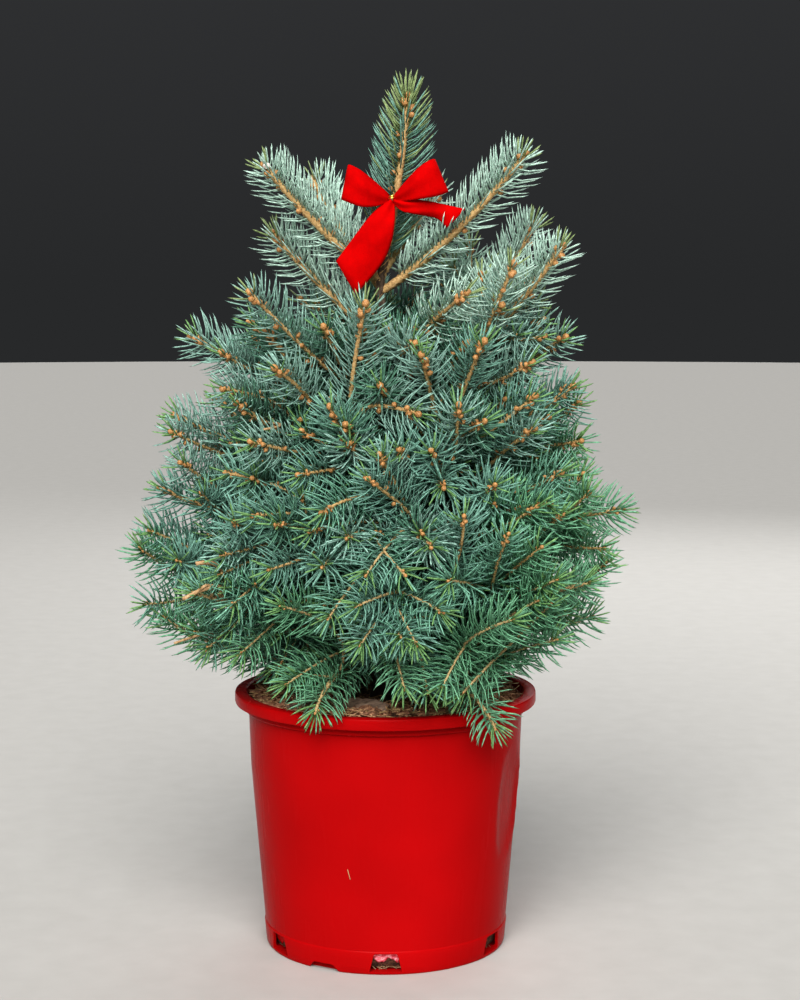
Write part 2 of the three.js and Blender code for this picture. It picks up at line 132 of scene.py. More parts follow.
def turned(profile, segments):
    """A closed body spun round +Z from a profile of (radius, height) points in millimetres."""
    shape = bmesh.new()
    points = [shape.verts.new((radius * MM, 0, height * MM)) for radius, height in profile]
    edges = [shape.edges.new(pair) for pair in zip(points, points[1:])]
    bmesh.ops.spin(shape, geom=points + edges, cent=(0, 0, 0), axis=(0, 0, 1),
                   angle=math.tau, steps=segments, use_merge=True)
    bmesh.ops.remove_doubles(shape, verts=shape.verts, dist=1e-6)
    return shape


def moved_inwards(vert, depth):
    radius = math.hypot(vert.co.x, vert.co.y)
    if radius > 0.05:
        vert.co.x *= 1 - depth / radius
        vert.co.y *= 1 - depth / radius


def dent_depth(vert, reach=1.0):
    """How far the knock pushed the wall in over its lens, less the crease raised beside it."""
    across = (math.degrees(math.atan2(vert.co.y, vert.co.x)) - DENT_ANGLE) / DENT_HALF_ANGLE
    along = (vert.co.z - DENT_HEIGHT) / DENT_HALF_HEIGHT
    leaning = across + DENT_LEAN * along * along
    lens = max(0, 1 - leaning ** 2 - along * along)
    crease = math.exp(-((leaning - CREASE_PLACE) / CREASE_WIDTH) ** 2) * max(0, 1 - along * along)
    return DENT_DEPTH * reach * (1 - (1 - lens) ** 1.5) - CREASE_RISE * crease


def foot_block(shape, degrees, width, flare, low, high, depth):
    """A wedge across the foot that widens downwards, to cut an opening with."""
    standing = set(shape.verts)
    made = bmesh.ops.create_cube(shape, size=1)["verts"]
    for vert in made:
        wide = width - flare if vert.co.z > 0 else width + flare
        vert.co.x = mixed(wall_radius(0) - depth, wall_radius(0) + 12 * MM, vert.co.x + 0.5)
        vert.co.y *= wide
        vert.co.z = high if vert.co.z > 0 else low
    upright = [e for e in {e for v in made for e in v.link_edges}
               if abs(e.verts[0].co.z - high) < 1e-6 and abs(e.verts[1].co.z - high) < 1e-6
               and abs(e.verts[0].co.y - e.verts[1].co.y) < 1e-6]
    bmesh.ops.bevel(shape, geom=upright, offset=1.6 * MM, segments=3, profile=0.5,
                    affect="EDGES", material=-1)
    turn = Matrix.Rotation(math.radians(degrees), 4, "Z")
    bmesh.ops.transform(shape, matrix=turn, verts=[v for v in shape.verts if v not in standing])


def cut_from(shape, cutter, name):
    """The mesh of a body with the cutter's blocks taken out of it."""
    whole = in_scene("whole", finished(shape, "whole"))
    blocks = in_scene("blocks", finished(cutter, "blocks"))
    cut = whole.modifiers.new("cut", "BOOLEAN")
    cut.operation = "DIFFERENCE"
    cut.solver = "EXACT"
    cut.object = blocks
    bpy.context.view_layer.update()
    depsgraph = bpy.context.evaluated_depsgraph_get()
    mesh = bpy.data.meshes.new_from_object(whole.evaluated_get(depsgraph))
    mesh.name = name
    for used in (whole, blocks):
        bpy.data.objects.remove(used)
    mesh.shade_smooth()
    mesh.set_sharp_from_angle(angle=math.radians(32))
    return mesh


ring_heights = [FOOT_HEIGHT / MM + BAND_STEP + RING_STEP * ring for ring in range(RING_COUNT)]
pot_profile = [(0, 0), (60, 0), (104, 0), (109.4, 0), (FOOT_WALL, 0.5), (112, 2)]
pot_profile += [(wall_at(z) + BAND_STEP, z) for z in (8, 14, 20.4)] + [(wall_at(21) + 0.5, 21.2)]
pot_profile += [(wall_at(z), z) for z in ring_heights]
pot_profile += [(COLLAR_WALL, 219.9), (130.4, 220.8), (131, 221.6), (131, 226.2), (131.5, 227)]
pot_profile += [(137.8, 227), (139.5, 227.6), (140, 229.2), (140, 235.6), (139.4, 237.3), (137.6, 238)]
pot_profile += [(130.6, 238), (128.9, 237.3), (128.2, 235.6), (125.4, 226)]
pot_profile += [(wall_at(z) - WALL_THICKNESS, z) for z in reversed(ring_heights)]
pot_profile += [(109.6, 6), (108, 3.8), (106, FLOOR_THICKNESS), (60, FLOOR_THICKNESS), (0, FLOOR_THICKNESS)]
pot_shape = turned(pot_profile, POT_SEGMENTS)
for vert in pot_shape.verts:
    ripple = 0.3 * MM * noise.noise(Vector((vert.co.x * 26, vert.co.y * 26, vert.co.z * 11)))
    moved_inwards(vert, dent_depth(vert) + ripple * clamped((0.215 - vert.co.z) / 0.02))
pot_cutter = bmesh.new()
for degrees in DRAIN_ANGLES:
    foot_block(pot_cutter, degrees, width=25 * MM, flare=4 * MM, low=2.8 * MM, high=19.8 * MM,
               depth=14 * MM)
for degrees in NOTCH_ANGLES:
    foot_block(pot_cutter, degrees, width=27 * MM, flare=7 * MM, low=-1 * MM, high=6.6 * MM, depth=7 * MM)
pot_mesh = cut_from(pot_shape, pot_cutter, "pot")

# Every material's grain comes from this one group, on the piece's own coordinates.
grain_group = bpy.data.node_groups.new("grain", "ShaderNodeTree")
for name in ("Scale", "Detail", "Roughness", "Stretch", "Offset"):
    kind = "NodeSocketVector" if name in ("Stretch", "Offset") else "NodeSocketFloat"
    grain_group.interface.new_socket(name, in_out="INPUT", socket_type=kind)
grain_group.interface.new_socket("Grain", in_out="OUTPUT", socket_type="NodeSocketFloat")
given, result, place, mapping, pattern = (grain_group.nodes.new(kind) for kind in (
    "NodeGroupInput", "NodeGroupOutput", "ShaderNodeTexCoord", "ShaderNodeMapping", "ShaderNodeTexNoise"))
grain_group.links.new(place.outputs["Object"], mapping.inputs["Vector"])
grain_group.links.new(given.outputs["Stretch"], mapping.inputs["Scale"])
grain_group.links.new(given.outputs["Offset"], mapping.inputs["Location"])
grain_group.links.new(mapping.outputs["Vector"], pattern.inputs["Vector"])
for name in ("Scale", "Detail", "Roughness"):
    grain_group.links.new(given.outputs[name], pattern.inputs[name])
grain_group.links.new(pattern.outputs["Fac"], result.inputs["Grain"])


def noise_field(tree, scale, detail=3, rough=0.55, stretch=(1, 1, 1), offset=(0, 0, 0)):
    """The grain group placed in one material, at so many patterns per metre."""
    grain = tree.nodes.new("ShaderNodeGroup")
    grain.node_tree = grain_group
    for socket, value in zip(grain.inputs, (scale, detail, rough, stretch, offset)):
        socket.default_value = value
    return grain.outputs["Grain"]


def ramp(tree, field, stops):
    """Colours or greys laid over a pattern's values."""
    node = tree.nodes.new("ShaderNodeValToRGB")
    node.color_ramp.elements[0].position, node.color_ramp.elements[-1].position = 0, 1
    while len(node.color_ramp.elements) < len(stops):
        node.color_ramp.elements.new(0.5)
    for element, (position, colour) in zip(node.color_ramp.elements, stops):
        element.position = position
        element.color = (*colour, 1) if isinstance(colour, tuple) else (colour,) * 3 + (1,)
    tree.links.new(field, node.inputs["Fac"])
    return node.outputs["Color"]


def bumped(tree, field, strength, distance):
    node = tree.nodes.new("ShaderNodeBump")
    node.inputs["Strength"].default_value = strength
    node.inputs["Distance"].default_value = distance
    tree.links.new(field, node.inputs["Height"])
    tree.links.new(node.outputs["Normal"], tree.nodes["Principled BSDF"].inputs["Normal"])


def grained(name, scale, stops, bump=None, detail=3, rough=0.55, stretch=(1, 1, 1), offset=(0, 0, 0),
            **sockets):
    """A material whose colour, and relief if any, follow one grain, with fixed values on its sockets."""
    material = bpy.data.materials.new(name)
    material.use_nodes = True
    tree = material.node_tree
    shader = tree.nodes["Principled BSDF"]
    for socket, value in sockets.items():
        shader.inputs[socket.replace("_", " ")].default_value = value
    grain = noise_field(tree, scale, detail, rough, stretch, offset)
    tree.links.new(ramp(tree, grain, stops), shader.inputs["Base Color"])
    if bump:
        bumped(tree, grain, *bump)
    return material


red_plastic = grained("red_plastic", 9, [(0.3, (0.37, 0.003, 0.004)), (0.7, (0.445, 0.0035, 0.005))],
                      detail=2, offset=(3, 1, 2), IOR=1.49, Specular_IOR_Level=0.03)
tree = red_plastic.node_tree
streaks = noise_field(tree, 42, detail=4, stretch=(1, 1, 0.1))
tree.links.new(ramp(tree, streaks, [(0.3, 0.22), (0.75, 0.32)]),
               tree.nodes["Principled BSDF"].inputs["Roughness"])
bumped(tree, streaks, 0.12, 0.0006)
show("pot", pot_mesh, red_plastic, "pot", "pot")

# Potting mix: damp shredded bark packed to just under the lip, lumpy on top, with its side
# showing through the drain openings. It is one plug, and the loose stuff on it comes next.
MIX_LEVEL = 226.5
MIX_EDGE = 123.5 * MM
MIX_FOOT = 3.8
EDGE_LEVEL = 225 * MM
LIP_RISE = 6.5 * MM
HEAP_RISE, HEAP_PLACE = 4 * MM, (-0.018, -0.073)
mix_profile = [(0, MIX_FOOT), (60, MIX_FOOT), (100, MIX_FOOT), (106.2, 7)]
mix_profile += [(wall_at(z) - WALL_THICKNESS - 0.5, z) for z in range(12, 222, 7)]
mix_profile += [(wall_at(223) - 3.4, 223.5), (124.8, 226.3)]
mix_profile += [(radius, MIX_LEVEL) for radius in range(121, 0, -4)] + [(0, MIX_LEVEL)]
mix_shape = turned(mix_profile, 150)


def lumps(x, y, size):
    return noise.fractal(Vector((x / size, y / size, 3.7)), 0.9, 2.1, 4)


for vert in mix_shape.verts:
    moved_inwards(vert, dent_depth(vert, 1.15))
    out = math.hypot(vert.co.x, vert.co.y)
    if vert.co.z > 0.2261 and out > 0.002:
        bank = 2.2 * MM * math.cos(3 * math.atan2(vert.co.y, vert.co.x) + out * 40)
        fade = clamped((out - 0.002) / 0.02) * clamped((MIX_EDGE - out) / 0.006 + 0.3)
        from_heap = (vert.co.x - HEAP_PLACE[0]) ** 2 + (vert.co.y - HEAP_PLACE[1]) ** 2
        rise = LIP_RISE * clamped((out - 0.03) / 0.07) + HEAP_RISE * math.exp(-from_heap / 0.0005)
        vert.co.z += fade * (bank + 3.2 * MM * lumps(vert.co.x, vert.co.y, 0.012)) + rise
    elif 0.008 < vert.co.z < 0.022:
        moved_inwards(vert, 1.8 * MM * (1.3 + lumps(vert.co.x * 2, vert.co.y * 2, 0.006)))

damp_bark = grained("damp_bark", 420, [(0.3, (0.02, 0.01, 0.005)), (0.48, (0.09, 0.036, 0.018)),
                                       (0.64, (0.22, 0.1, 0.052)), (0.8, (0.42, 0.24, 0.14))],
                    bump=(0.9, 0.004), detail=5, rough=0.7, Roughness=0.92)
mix = show("potting_mix_plug", finished(mix_shape, "potting_mix_plug", 70), damp_bark,
           "potting_mix", "potting_mix")
mix_tree = BVHTree.FromObject(mix, bpy.context.evaluated_depsgraph_get())


# Loose stuff on the mix: bark chips, shredded fibres and fallen dry needles, lying as they
# fell. Each kind is one piece, made of many copies of one small shape.
def template(shape):
    """A small shape as arrays of corners and faces, to be copied many times."""
    bmesh.ops.recalc_face_normals(shape, faces=shape.faces)
    bmesh.ops.triangulate(shape, faces=shape.faces)
    shape.verts.index_update()
    corners = np.array([v.co for v in shape.verts])
    faces = np.array([[v.index for v in f.verts] for f in shape.faces])
    shape.free()
    return corners, faces


def joined(name, batches, smooth=True):
    """One mesh from batches of copies: each is (corners of every copy, faces of one copy)."""
    corners, faces, count = [], [], 0
    for places, one in batches:
        copies, size = places.shape[:2]
        corners.append(places.reshape(-1, 3))
        steps = count + size * np.arange(copies)
        faces.append((one[None] + steps[:, None, None]).reshape(-1, 3))
        count += copies * size
    corners, faces = np.concatenate(corners), np.concatenate(faces).astype(np.int32)
    mesh = bpy.data.meshes.new(name)
    mesh.vertices.add(len(corners))
    mesh.vertices.foreach_set("co", corners.astype(np.float32).ravel())
    mesh.loops.add(faces.size)
    mesh.loops.foreach_set("vertex_index", faces.ravel())
    mesh.polygons.add(len(faces))
    mesh.polygons.foreach_set("loop_start", np.arange(0, faces.size, 3, dtype=np.int32))
    mesh.polygons.foreach_set("use_smooth", np.full(len(faces), smooth))
    mesh.update()
    mesh.validate()
    return mesh


def unit(vectors):
    return vectors / np.maximum(np.linalg.norm(vectors, axis=-1, keepdims=True), 1e-9)


def strewn(seed, count, reach, clear=0.018):
    """Places scattered evenly over the mix, outside the trunk's foot."""
    dice = np.random.default_rng(seed)
    out = np.sqrt(dice.uniform(clear ** 2, reach ** 2, count))
    round_it = dice.uniform(0, math.tau, count)
    return dice, np.stack([out * np.cos(round_it), out * np.sin(round_it)], 1)


def surface(places):
    """The height of the mix under each place, found from above the lip."""
    down = Vector((0, 0, -1))
    tops = [mix_tree.ray_cast(Vector((x, y, 0.26)), down)[0] for x, y in places]
    return np.array([top.z if top else EDGE_LEVEL for top in tops])


def lying(one, dice, places, length, width, thickness, lift, tilt, bow=0.0):
    """Copies of a shape laid on the mix, each turned, tilted, sized and bowed a little."""
    corners, faces = one
    count = len(places)
    turn = dice.uniform(0, math.tau, count)
    rise = dice.normal(0, tilt, count)
    along = np.stack([np.cos(turn) * np.cos(rise), np.sin(turn) * np.cos(rise), np.sin(rise)], 1)
    across = np.stack([-np.sin(turn), np.cos(turn), dice.normal(0, tilt, count)], 1)
    across = unit(across - (across * along).sum(1, keepdims=True) * along)
    upward = np.cross(along, across)
    size = [dice.uniform(low, high, count) * MM for low, high in (length, width, thickness)]
    bend = dice.normal(0, bow, count) * size[0]
    local = np.repeat(corners[None], count, 0)
    side = local[:, :, 1] * size[1][:, None] + bend[:, None] * (local[:, :, 0] ** 2 - 0.1) * 4
    rough = 1 + 0.35 * dice.normal(size=local.shape[:2])
    place = np.concatenate([places, (surface(places) + lift * MM)[:, None]], 1)
    laid = place[:, None] + along[:, None] * (local[:, :, 0] * size[0][:, None])[:, :, None]
    laid += across[:, None] * (side * rough)[:, :, None]
    laid += upward[:, None] * (local[:, :, 2] * size[2][:, None])[:, :, None]
    return laid, faces


chip_shape = bmesh.new()
bmesh.ops.create_cube(chip_shape, size=1)
bmesh.ops.subdivide_edges(chip_shape, edges=[e for e in chip_shape.edges
                          if abs(e.verts[0].co.x - e.verts[1].co.x) > 0.5], cuts=2)
for vert in chip_shape.verts:
    vert.co.y *= 1 - 0.8 * vert.co.x ** 2
chip = template(chip_shape)
fibre_shape = bmesh.new()
bmesh.ops.create_cone(fibre_shape, cap_ends=True, segments=4, radius1=0.5, radius2=0.5, depth=1)
bmesh.ops.rotate(fibre_shape, verts=fibre_shape.verts, matrix=Matrix.Rotation(math.pi / 2, 3, "Y"))
bmesh.ops.subdivide_edges(fibre_shape, edges=[e for e in fibre_shape.edges
                          if abs(e.verts[0].co.x - e.verts[1].co.x) > 0.5], cuts=3)
fibre = template(fibre_shape)


def litter_finish(name, dark, pale, scale, stretch=(1, 1, 1)):
    return grained(name, scale, [(0.32, dark), (0.7, pale)], bump=(0.6, 0.001), detail=4, rough=0.65,
                   stretch=stretch, Roughness=0.88)


LITTER_REACH = 0.1225
for name, seed, count, one, sizes, lift, tilt, bow, dark, pale in (
    ("bark_crumbs", 11, 2600, chip, ((3, 8), (1.5, 4), (1, 2.4)), 0.4, 0.5, 0.0,
     (0.03, 0.012, 0.006), (0.34, 0.14, 0.07)),
    ("bark_chips", 12, 420, chip, ((8, 20), (4, 8), (1.4, 3)), 1.4, 0.3, 0.0,
     (0.08, 0.034, 0.018), (0.62, 0.32, 0.19)),
    ("bark_fibres", 13, 1200, fibre, ((9, 30), (0.8, 1.7), (0.6, 1.2)), 2.0, 0.2, 0.09,
     (0.24, 0.105, 0.05), (0.95, 0.6, 0.36)),
    ("fallen_needles", 14, 520, fibre, ((16, 26), (0.8, 1.1), (0.8, 1.1)), 2.2, 0.12, 0.05,
     (0.42, 0.26, 0.11), (0.66, 0.48, 0.25)),
):
    dice, places = strewn(seed, count, LITTER_REACH)
    laid = lying(one, dice, places, *sizes, lift, tilt, bow)
    show(name, joined(name, [laid], smooth=False), litter_finish(name, dark, pale, 300), "potting_mix")

# Drain fibres: shredded bark also bulges into the drain openings, as a tangle of short fibres.
# They are one piece too.
UP = np.array([0.0, 0.0, 1.0])
FIBRES_PER_DRAIN = 90
dice = np.random.default_rng(15)
corners, faces = fibre
count = FIBRES_PER_DRAIN * len(DRAIN_ANGLES)
angle = np.radians(np.repeat(DRAIN_ANGLES, FIBRES_PER_DRAIN) + dice.uniform(-7.5, 7.5, count))
out = np.stack([np.cos(angle), np.sin(angle), np.zeros(count)], 1)
round_it = np.stack([-np.sin(angle), np.cos(angle), np.zeros(count)], 1)
tilt = dice.normal(0, 0.7, count)[:, None]
along = round_it * np.cos(tilt) + UP * np.sin(tilt) + out * dice.normal(0, 0.16, count)[:, None]
place = out * dice.uniform(102.6, 105.2, count)[:, None] * MM
place = place + UP * dice.uniform(4.5, 19, count)[:, None] * MM
size = dice.uniform(4, 11, count)[:, None, None] * MM
wide = dice.uniform(0.5, 1.3, count)[:, None, None] * MM
laid = place[:, None] + unit(along)[:, None] * size * corners[:, 0][None, :, None]
laid = laid + unit(np.cross(out, along))[:, None] * wide * corners[:, 1][None, :, None]
laid = laid + out[:, None] * wide * corners[:, 2][None, :, None]
show("drain_fibres", joined("drain_fibres", [(laid, faces)], smooth=False),
     litter_finish("drain_fibre", (0.13, 0.075, 0.04), (0.55, 0.38, 0.22), 420), "potting_mix")

# Flaps: torn tongues of the blow-moulded wall still hang in some of the drain openings. The
# front one is stress-whitened, and the rest are as red as the pot.
FLAP_RADIUS, FLAP_TOP, FLAP_THICKNESS = 109.4, 20.2, 0.8 * MM
torn_plastic = grained("torn_plastic", 330, [(0.36, (0.5, 0.004, 0.012)), (0.5, (0.75, 0.13, 0.18)),
                                             (0.62, (0.85, 0.45, 0.48))],
                       detail=4, rough=0.6, Roughness=0.6)
for name, angles, drop, plastic in (("white_flap", (-90,), 8.5, torn_plastic),
                                    ("red_flaps", (210, 90), 8.0, red_plastic)):
    flap_shape = bmesh.new()
    for degrees in angles:
        standing = set(flap_shape.verts)
        bmesh.ops.create_grid(flap_shape, x_segments=14, y_segments=6, size=0.5)
        for vert in [v for v in flap_shape.verts if v not in standing]:
            side, down = vert.co.x, 0.5 - vert.co.y
            ragged = 1 + 0.6 * noise.noise(Vector((side * 5, degrees, 0.3)))
            turn = math.radians(degrees) + side * 0.215
            buckled = 0.5 * noise.noise(Vector((side * 8, down * 5, degrees)))
            radius = (FLAP_RADIUS - 1.4 * down ** 2 + buckled) * MM
            height = (FLAP_TOP - down * drop * ragged) * MM
            vert.co = (radius * math.cos(turn), radius * math.sin(turn), height)
    flaps = show(name, finished(flap_shape, name, 60), plastic, "pot")
    thick = flaps.modifiers.new("wall", "SOLIDIFY")
    thick.thickness, thick.offset = FLAP_THICKNESS, 0

# Stuck needle: one dry needle from the plant sticks to the front of the wall, leaning a little.
# It is bent to the wall's curve.
corners, faces = fibre
STUCK_PLACE, STUCK_LENGTH, STUCK_WIDTH, STUCK_LEAN = (-32.5, 0, 93), 9.5 * MM, 0.65 * MM, 0.26
lean = np.array([-STUCK_LEAN, 0, 1.0]) / math.hypot(STUCK_LEAN, 1)
across = np.array([[-1.0, 0, -STUCK_LEAN]])
line = np.array([STUCK_PLACE]) * MM + lean * corners[:, :1] * STUCK_LENGTH
line = line + across * corners[:, 1:2] * STUCK_WIDTH
line[:, 1] = [-math.sqrt((wall_radius(z) + 0.2 * MM + 0.35 * MM * c) ** 2 - x * x)
              for x, z, c in zip(line[:, 0], line[:, 2], corners[:, 2])]
show("stuck_needle", joined("stuck_needle", [(line[None], faces)]),
     litter_finish("dry_needle", (0.5, 0.36, 0.18), (0.72, 0.56, 0.32), 300), "potting_mix")

# Large chips: a flat chip of grey bark lies near the front rim, with a smaller one on either
# side. Each is given by its centre, its size in millimetres, its turn and its tilt.
LARGE_CHIPS = [((-20, -88, 238), (46, 23, 4), -20, 30), ((-78, -62, 235.5), (24, 9, 3), 40, -6),
               ((44, -78, 235.5), (22, 10, 3), 12, 5)]
slab_shape = bmesh.new()
for centre, size, turn, tilt in LARGE_CHIPS:
    standing = set(slab_shape.verts)
    made = bmesh.ops.create_grid(slab_shape, x_segments=12, y_segments=5, size=0.5)["verts"]
    for vert in made:
        ragged = 1 + 0.22 * noise.noise(Vector((vert.co.x * 9, centre[0], 0)))
        vert.co.y *= ragged * (1 - 0.55 * max(0, vert.co.x * 2) ** 2)
        vert.co.z = 0.6 * noise.noise(Vector((vert.co.x * 3, vert.co.y * 8, centre[1])))
    lower = bmesh.ops.extrude_face_region(slab_shape, geom=[f for f in slab_shape.faces
                                          if not standing & set(f.verts)])["geom"]
    for vert in lower:
        if isinstance(vert, bmesh.types.BMVert):
            vert.co.z -= 0.8
    fresh = [v for v in slab_shape.verts if v not in standing]
    place = Matrix.Translation(Vector(centre) * MM) @ Matrix.Rotation(math.radians(turn), 4, "Z")
    place = place @ Matrix.Rotation(math.radians(tilt), 4, "X")
    place = place @ Matrix.Diagonal((size[0] * MM, size[1] * MM, size[2] * MM, 1))
    bmesh.ops.transform(slab_shape, matrix=place, verts=fresh)
chip_bark = litter_finish("grey_bark_chip", (0.055, 0.032, 0.022), (0.5, 0.35, 0.26), 260, (0.25, 1, 1))
show("large_chips", finished(slab_shape, "large_chips", 50), chip_bark, "potting_mix")

# Trunk: one stem from its flare on the mix to the top whorl, in rough grey-brown bark that
# splits into small scales. Above the whorl it is the leader, still tan and pegged.
TRUNK_FOOT = 227.3 * MM
TRUNK_TOP = 780 * MM
WHORL_HEIGHT = 617 * MM
FLARE_HEIGHT = 22 * MM
TRUNK_BOW = -4.5 * MM
LEADER_LEAN = 25 * MM
FOOT_RADIUS, WHORL_RADIUS, LEADER_THINNING, FLARE_WIDTH = 10.5, 4.2, 2.2, 6.5


def trunk_share(height):
    """How far up the trunk a height is, from 0 at its foot to 1 at the top whorl."""
    return clamped((height - TRUNK_FOOT) / (WHORL_HEIGHT - TRUNK_FOOT))


def above_whorl(height):
    """The same for the leader, from 0 at the whorl to 1 at its tip."""
    return max(0, (height - WHORL_HEIGHT) / (TRUNK_TOP - WHORL_HEIGHT))


def trunk_point(height):
    """The middle of the trunk or leader at a height."""
    above = above_whorl(height)
    lean = LEADER_LEAN * (1.5 * above - 0.5 * above ** 2)
    return np.array([TRUNK_BOW * trunk_share(height) + lean, 0, height])


def trunk_radius(height):
    flare = max(0, 1 - (height - TRUNK_FOOT) / FLARE_HEIGHT)
    stem = mixed(FOOT_RADIUS, WHORL_RADIUS, trunk_share(height)) - LEADER_THINNING * above_whorl(height)
    return (stem + FLARE_WIDTH * flare ** 2) * MM


def sleeve(sides, rings):
    """An open-ended shaft along Z from 0 to 1 with evenly spaced rings, then capped."""
    shape = bmesh.new()
    bmesh.ops.create_cone(shape, cap_ends=True, segments=sides, radius1=1, radius2=1, depth=1)
    upright = [e for e in shape.edges if abs(e.verts[0].co.z - e.verts[1].co.z) > 0.5]
    bmesh.ops.subdivide_edges(shape, edges=upright, cuts=rings)
    bmesh.ops.translate(shape, verts=shape.verts, vec=(0, 0, 0.5))
    return shape


trunk_shape = sleeve(36, 230)
for vert in trunk_shape.verts:
    height = mixed(TRUNK_FOOT, WHORL_HEIGHT + 0.03, vert.co.z)
    angle = math.atan2(vert.co.y, vert.co.x)
    scales = noise.noise(Vector((math.cos(angle) * 2.6, math.sin(angle) * 2.6, height * 160)))
    ridges = noise.noise(Vector((math.cos(angle) * 1.3, math.sin(angle) * 1.3, height * 30)))
    flutes = 1 + 0.12 * math.cos(5 * angle + 1) * max(0, 1 - (height - TRUNK_FOOT) / 0.03)
    radius = trunk_radius(height) * flutes + (0.55 * scales + 0.7 * ridges) * MM
    centre = trunk_point(height)
    vert.co = (centre[0] + radius * math.cos(angle), centre[1] + radius * math.sin(angle), height)


def bark_finish(name, dark, mid, pale, scale, stretch=(1, 1, 0.45), bump=0.8):
    return grained(name, scale, [(0.3, dark), (0.5, mid), (0.72, pale)], bump=(bump, 0.0012), detail=5,
                   rough=0.68, stretch=stretch, Roughness=0.9)


trunk_bark = bark_finish("trunk_bark", (0.028, 0.018, 0.012), (0.088, 0.058, 0.038), (0.19, 0.14, 0.1), 330)
show("trunk_bark", finished(trunk_shape, "trunk_bark", 60), trunk_bark, "bark", "trunk")

# Limbs: boughs that leave the trunk in tiers and carry the foliage. They grow by the rule of
# the part's source: one bowed line for each limb, twigs at each year's node, forks on long
# twigs. The rule is carried on here to the twigs between the nodes.
TIER_SPREAD = 24 * MM
# A tier's name, its roots' height, its years, how far out its limbs bend and how much they lift
# there, whether they show a bare bough, and then each limb's direction, reach and tip height.
TIERS = [
    ("rim", 268, 3, 0.78, 14, True,
     [(-171, 205, 310), (-113, 155, 245), (-54, 162, 228), (-2, 192, 306), (58, 185, 292),
      (122, 190, 298)]),
    ("wide", 325, 3, 0.55, 2, True,
     [(-144, 206, 346), (-86, 186, 318), (-30, 206, 352), (26, 212, 372), (90, 205, 356),
      (168, 220, 366)]),
    ("middle", 388, 3, 0.5, 4, True,
     [(-171, 206, 428), (-120, 184, 410), (-80, 178, 404), (-42, 190, 424), (-4, 218, 406), (52, 200, 430),
      (114, 200, 432)]),
    ("upper", 448, 2, 0.5, 6, False,
     [(180, 192, 492), (-146, 156, 508), (-102, 160, 494), (-60, 166, 496), (-14, 172, 520), (50, 172, 510),
      (115, 174, 512)]),
    ("high", 505, 2, 0.42, 14, False,
     [(-118, 112, 574), (-60, 96, 585), (-20, 166, 644), (30, 164, 668), (100, 138, 632), (172, 180, 563)]),
    ("top", 617, 1, 0.5, 40, False,
     [(-6, 126, 727), (62, 106, 696), (130, 104, 710), (160, 110, 658), (190, 109, 717)]),
]
WAYS = [(52, 12, 0.8), (52, 168, 0.8), (44, 95, 0.55), (46, 268, 0.48)]
TWIG_TRIMS = [1, 0.85, 0.7, 0.55, 0.4]
SHORTEST_TWIG = 30 * MM
FORKED_TWIG = 84 * MM
MASS_MARGIN = 3.4 * MM
LIP_BORE, MIX_TOP = 128 * MM, 230 * MM
STEM_POINTS = 120


def chance(a, b, c):
    """A repeatable fraction from 0 to 1 for a numbered choice."""
    wave = math.sin(a * 12.9898 + b * 78.233 + c * 37.719) * 43758.5453
    return wave - math.floor(wave)


class Stem:
    """A bowed line with evenly spaced points, and a sideways direction to grow twigs by."""

    def __init__(self, start, bend, end, across):
        t = np.linspace(0, 1, 301)[:, None]
        curve = (1 - t) ** 2 * start + 2 * t * (1 - t) * bend + t ** 2 * end
        walked = np.concatenate([[0], np.cumsum(np.linalg.norm(np.diff(curve, axis=0), axis=1))])
        self.length = walked[-1]
        even = np.linspace(0, self.length, STEM_POINTS + 1)
        self.points = np.stack([np.interp(even, walked, curve[:, i]) for i in range(3)], 1)
        self.tangents = unit(np.gradient(self.points, axis=0))
        self.across = across

    def at(self, share):
        share = np.asarray(share, float) * STEM_POINTS
        low = np.clip(np.floor(share).astype(int), 0, STEM_POINTS - 1)
        part = (share - low)[..., None]
        return self.points[low] * (1 - part) + self.points[low + 1] * part

    def heading(self, share):
        nearest = np.round(np.asarray(share, float) * STEM_POINTS).astype(int)
        return unit(self.tangents[np.clip(nearest, 0, STEM_POINTS)])

    def frame(self, share):
        """Its heading there, and two directions square to it."""
        heading = self.heading(share)
        side = unit(self.across - (heading * self.across).sum(-1, keepdims=True) * heading)
        return heading, side, np.cross(heading, side)


limbs = []
for name, root_height, years, bend_share, lift, has_bough, rows in TIERS:
    for index, (degrees, reach, tip_height) in enumerate(rows):
        out = np.array([math.cos(math.radians(degrees)), math.sin(math.radians(degrees)), 0])
        place = (index * 0.618) % 1
        root = trunk_point(root_height * MM + TIER_SPREAD * (place - 0.5))
        bend = root + out * reach * MM * bend_share + UP * lift * MM
        end = out * reach * MM + UP * tip_height * MM
        if (name, index) == ("top", 3):
            root, bend = trunk_point(562 * MM), trunk_point(590 * MM) + out * 40 * MM
        limb = Stem(root, bend, end, np.cross(UP, out))
        limb.number, limb.years, limb.has_bough = len(limbs) + 1, years, has_bough
        limb.line = limb.at(np.linspace(0, 1, 15))
        limbs.append(limb)
leader_line = np.array([trunk_point(h) for h in np.append(np.arange(645, 780, 15), 780) * MM])
whole_trunk = np.array([trunk_point(h) for h in np.append(np.arange(227.3, 780, 15), 780) * MM])


def distance_to_line(point, line):
    start, run = line[:-1], np.diff(line, axis=0)
    share = np.clip(((point - start) * run).sum(1) / (run * run).sum(1), 0, 1)
    return np.linalg.norm(start + run * share[:, None] - point, axis=1).min()


def clear_of_pot(point, margin):
    """Over the mix inside the lip, above the pot or outside its rim."""
    radius = math.hypot(point[0], point[1])
    in_rim = radius < LIP_BORE - margin
    over_mix = point[2] > MIX_TOP + margin
    return (in_rim and over_mix) or point[2] > POT_HEIGHT + margin or radius > RIM_RADIUS + margin


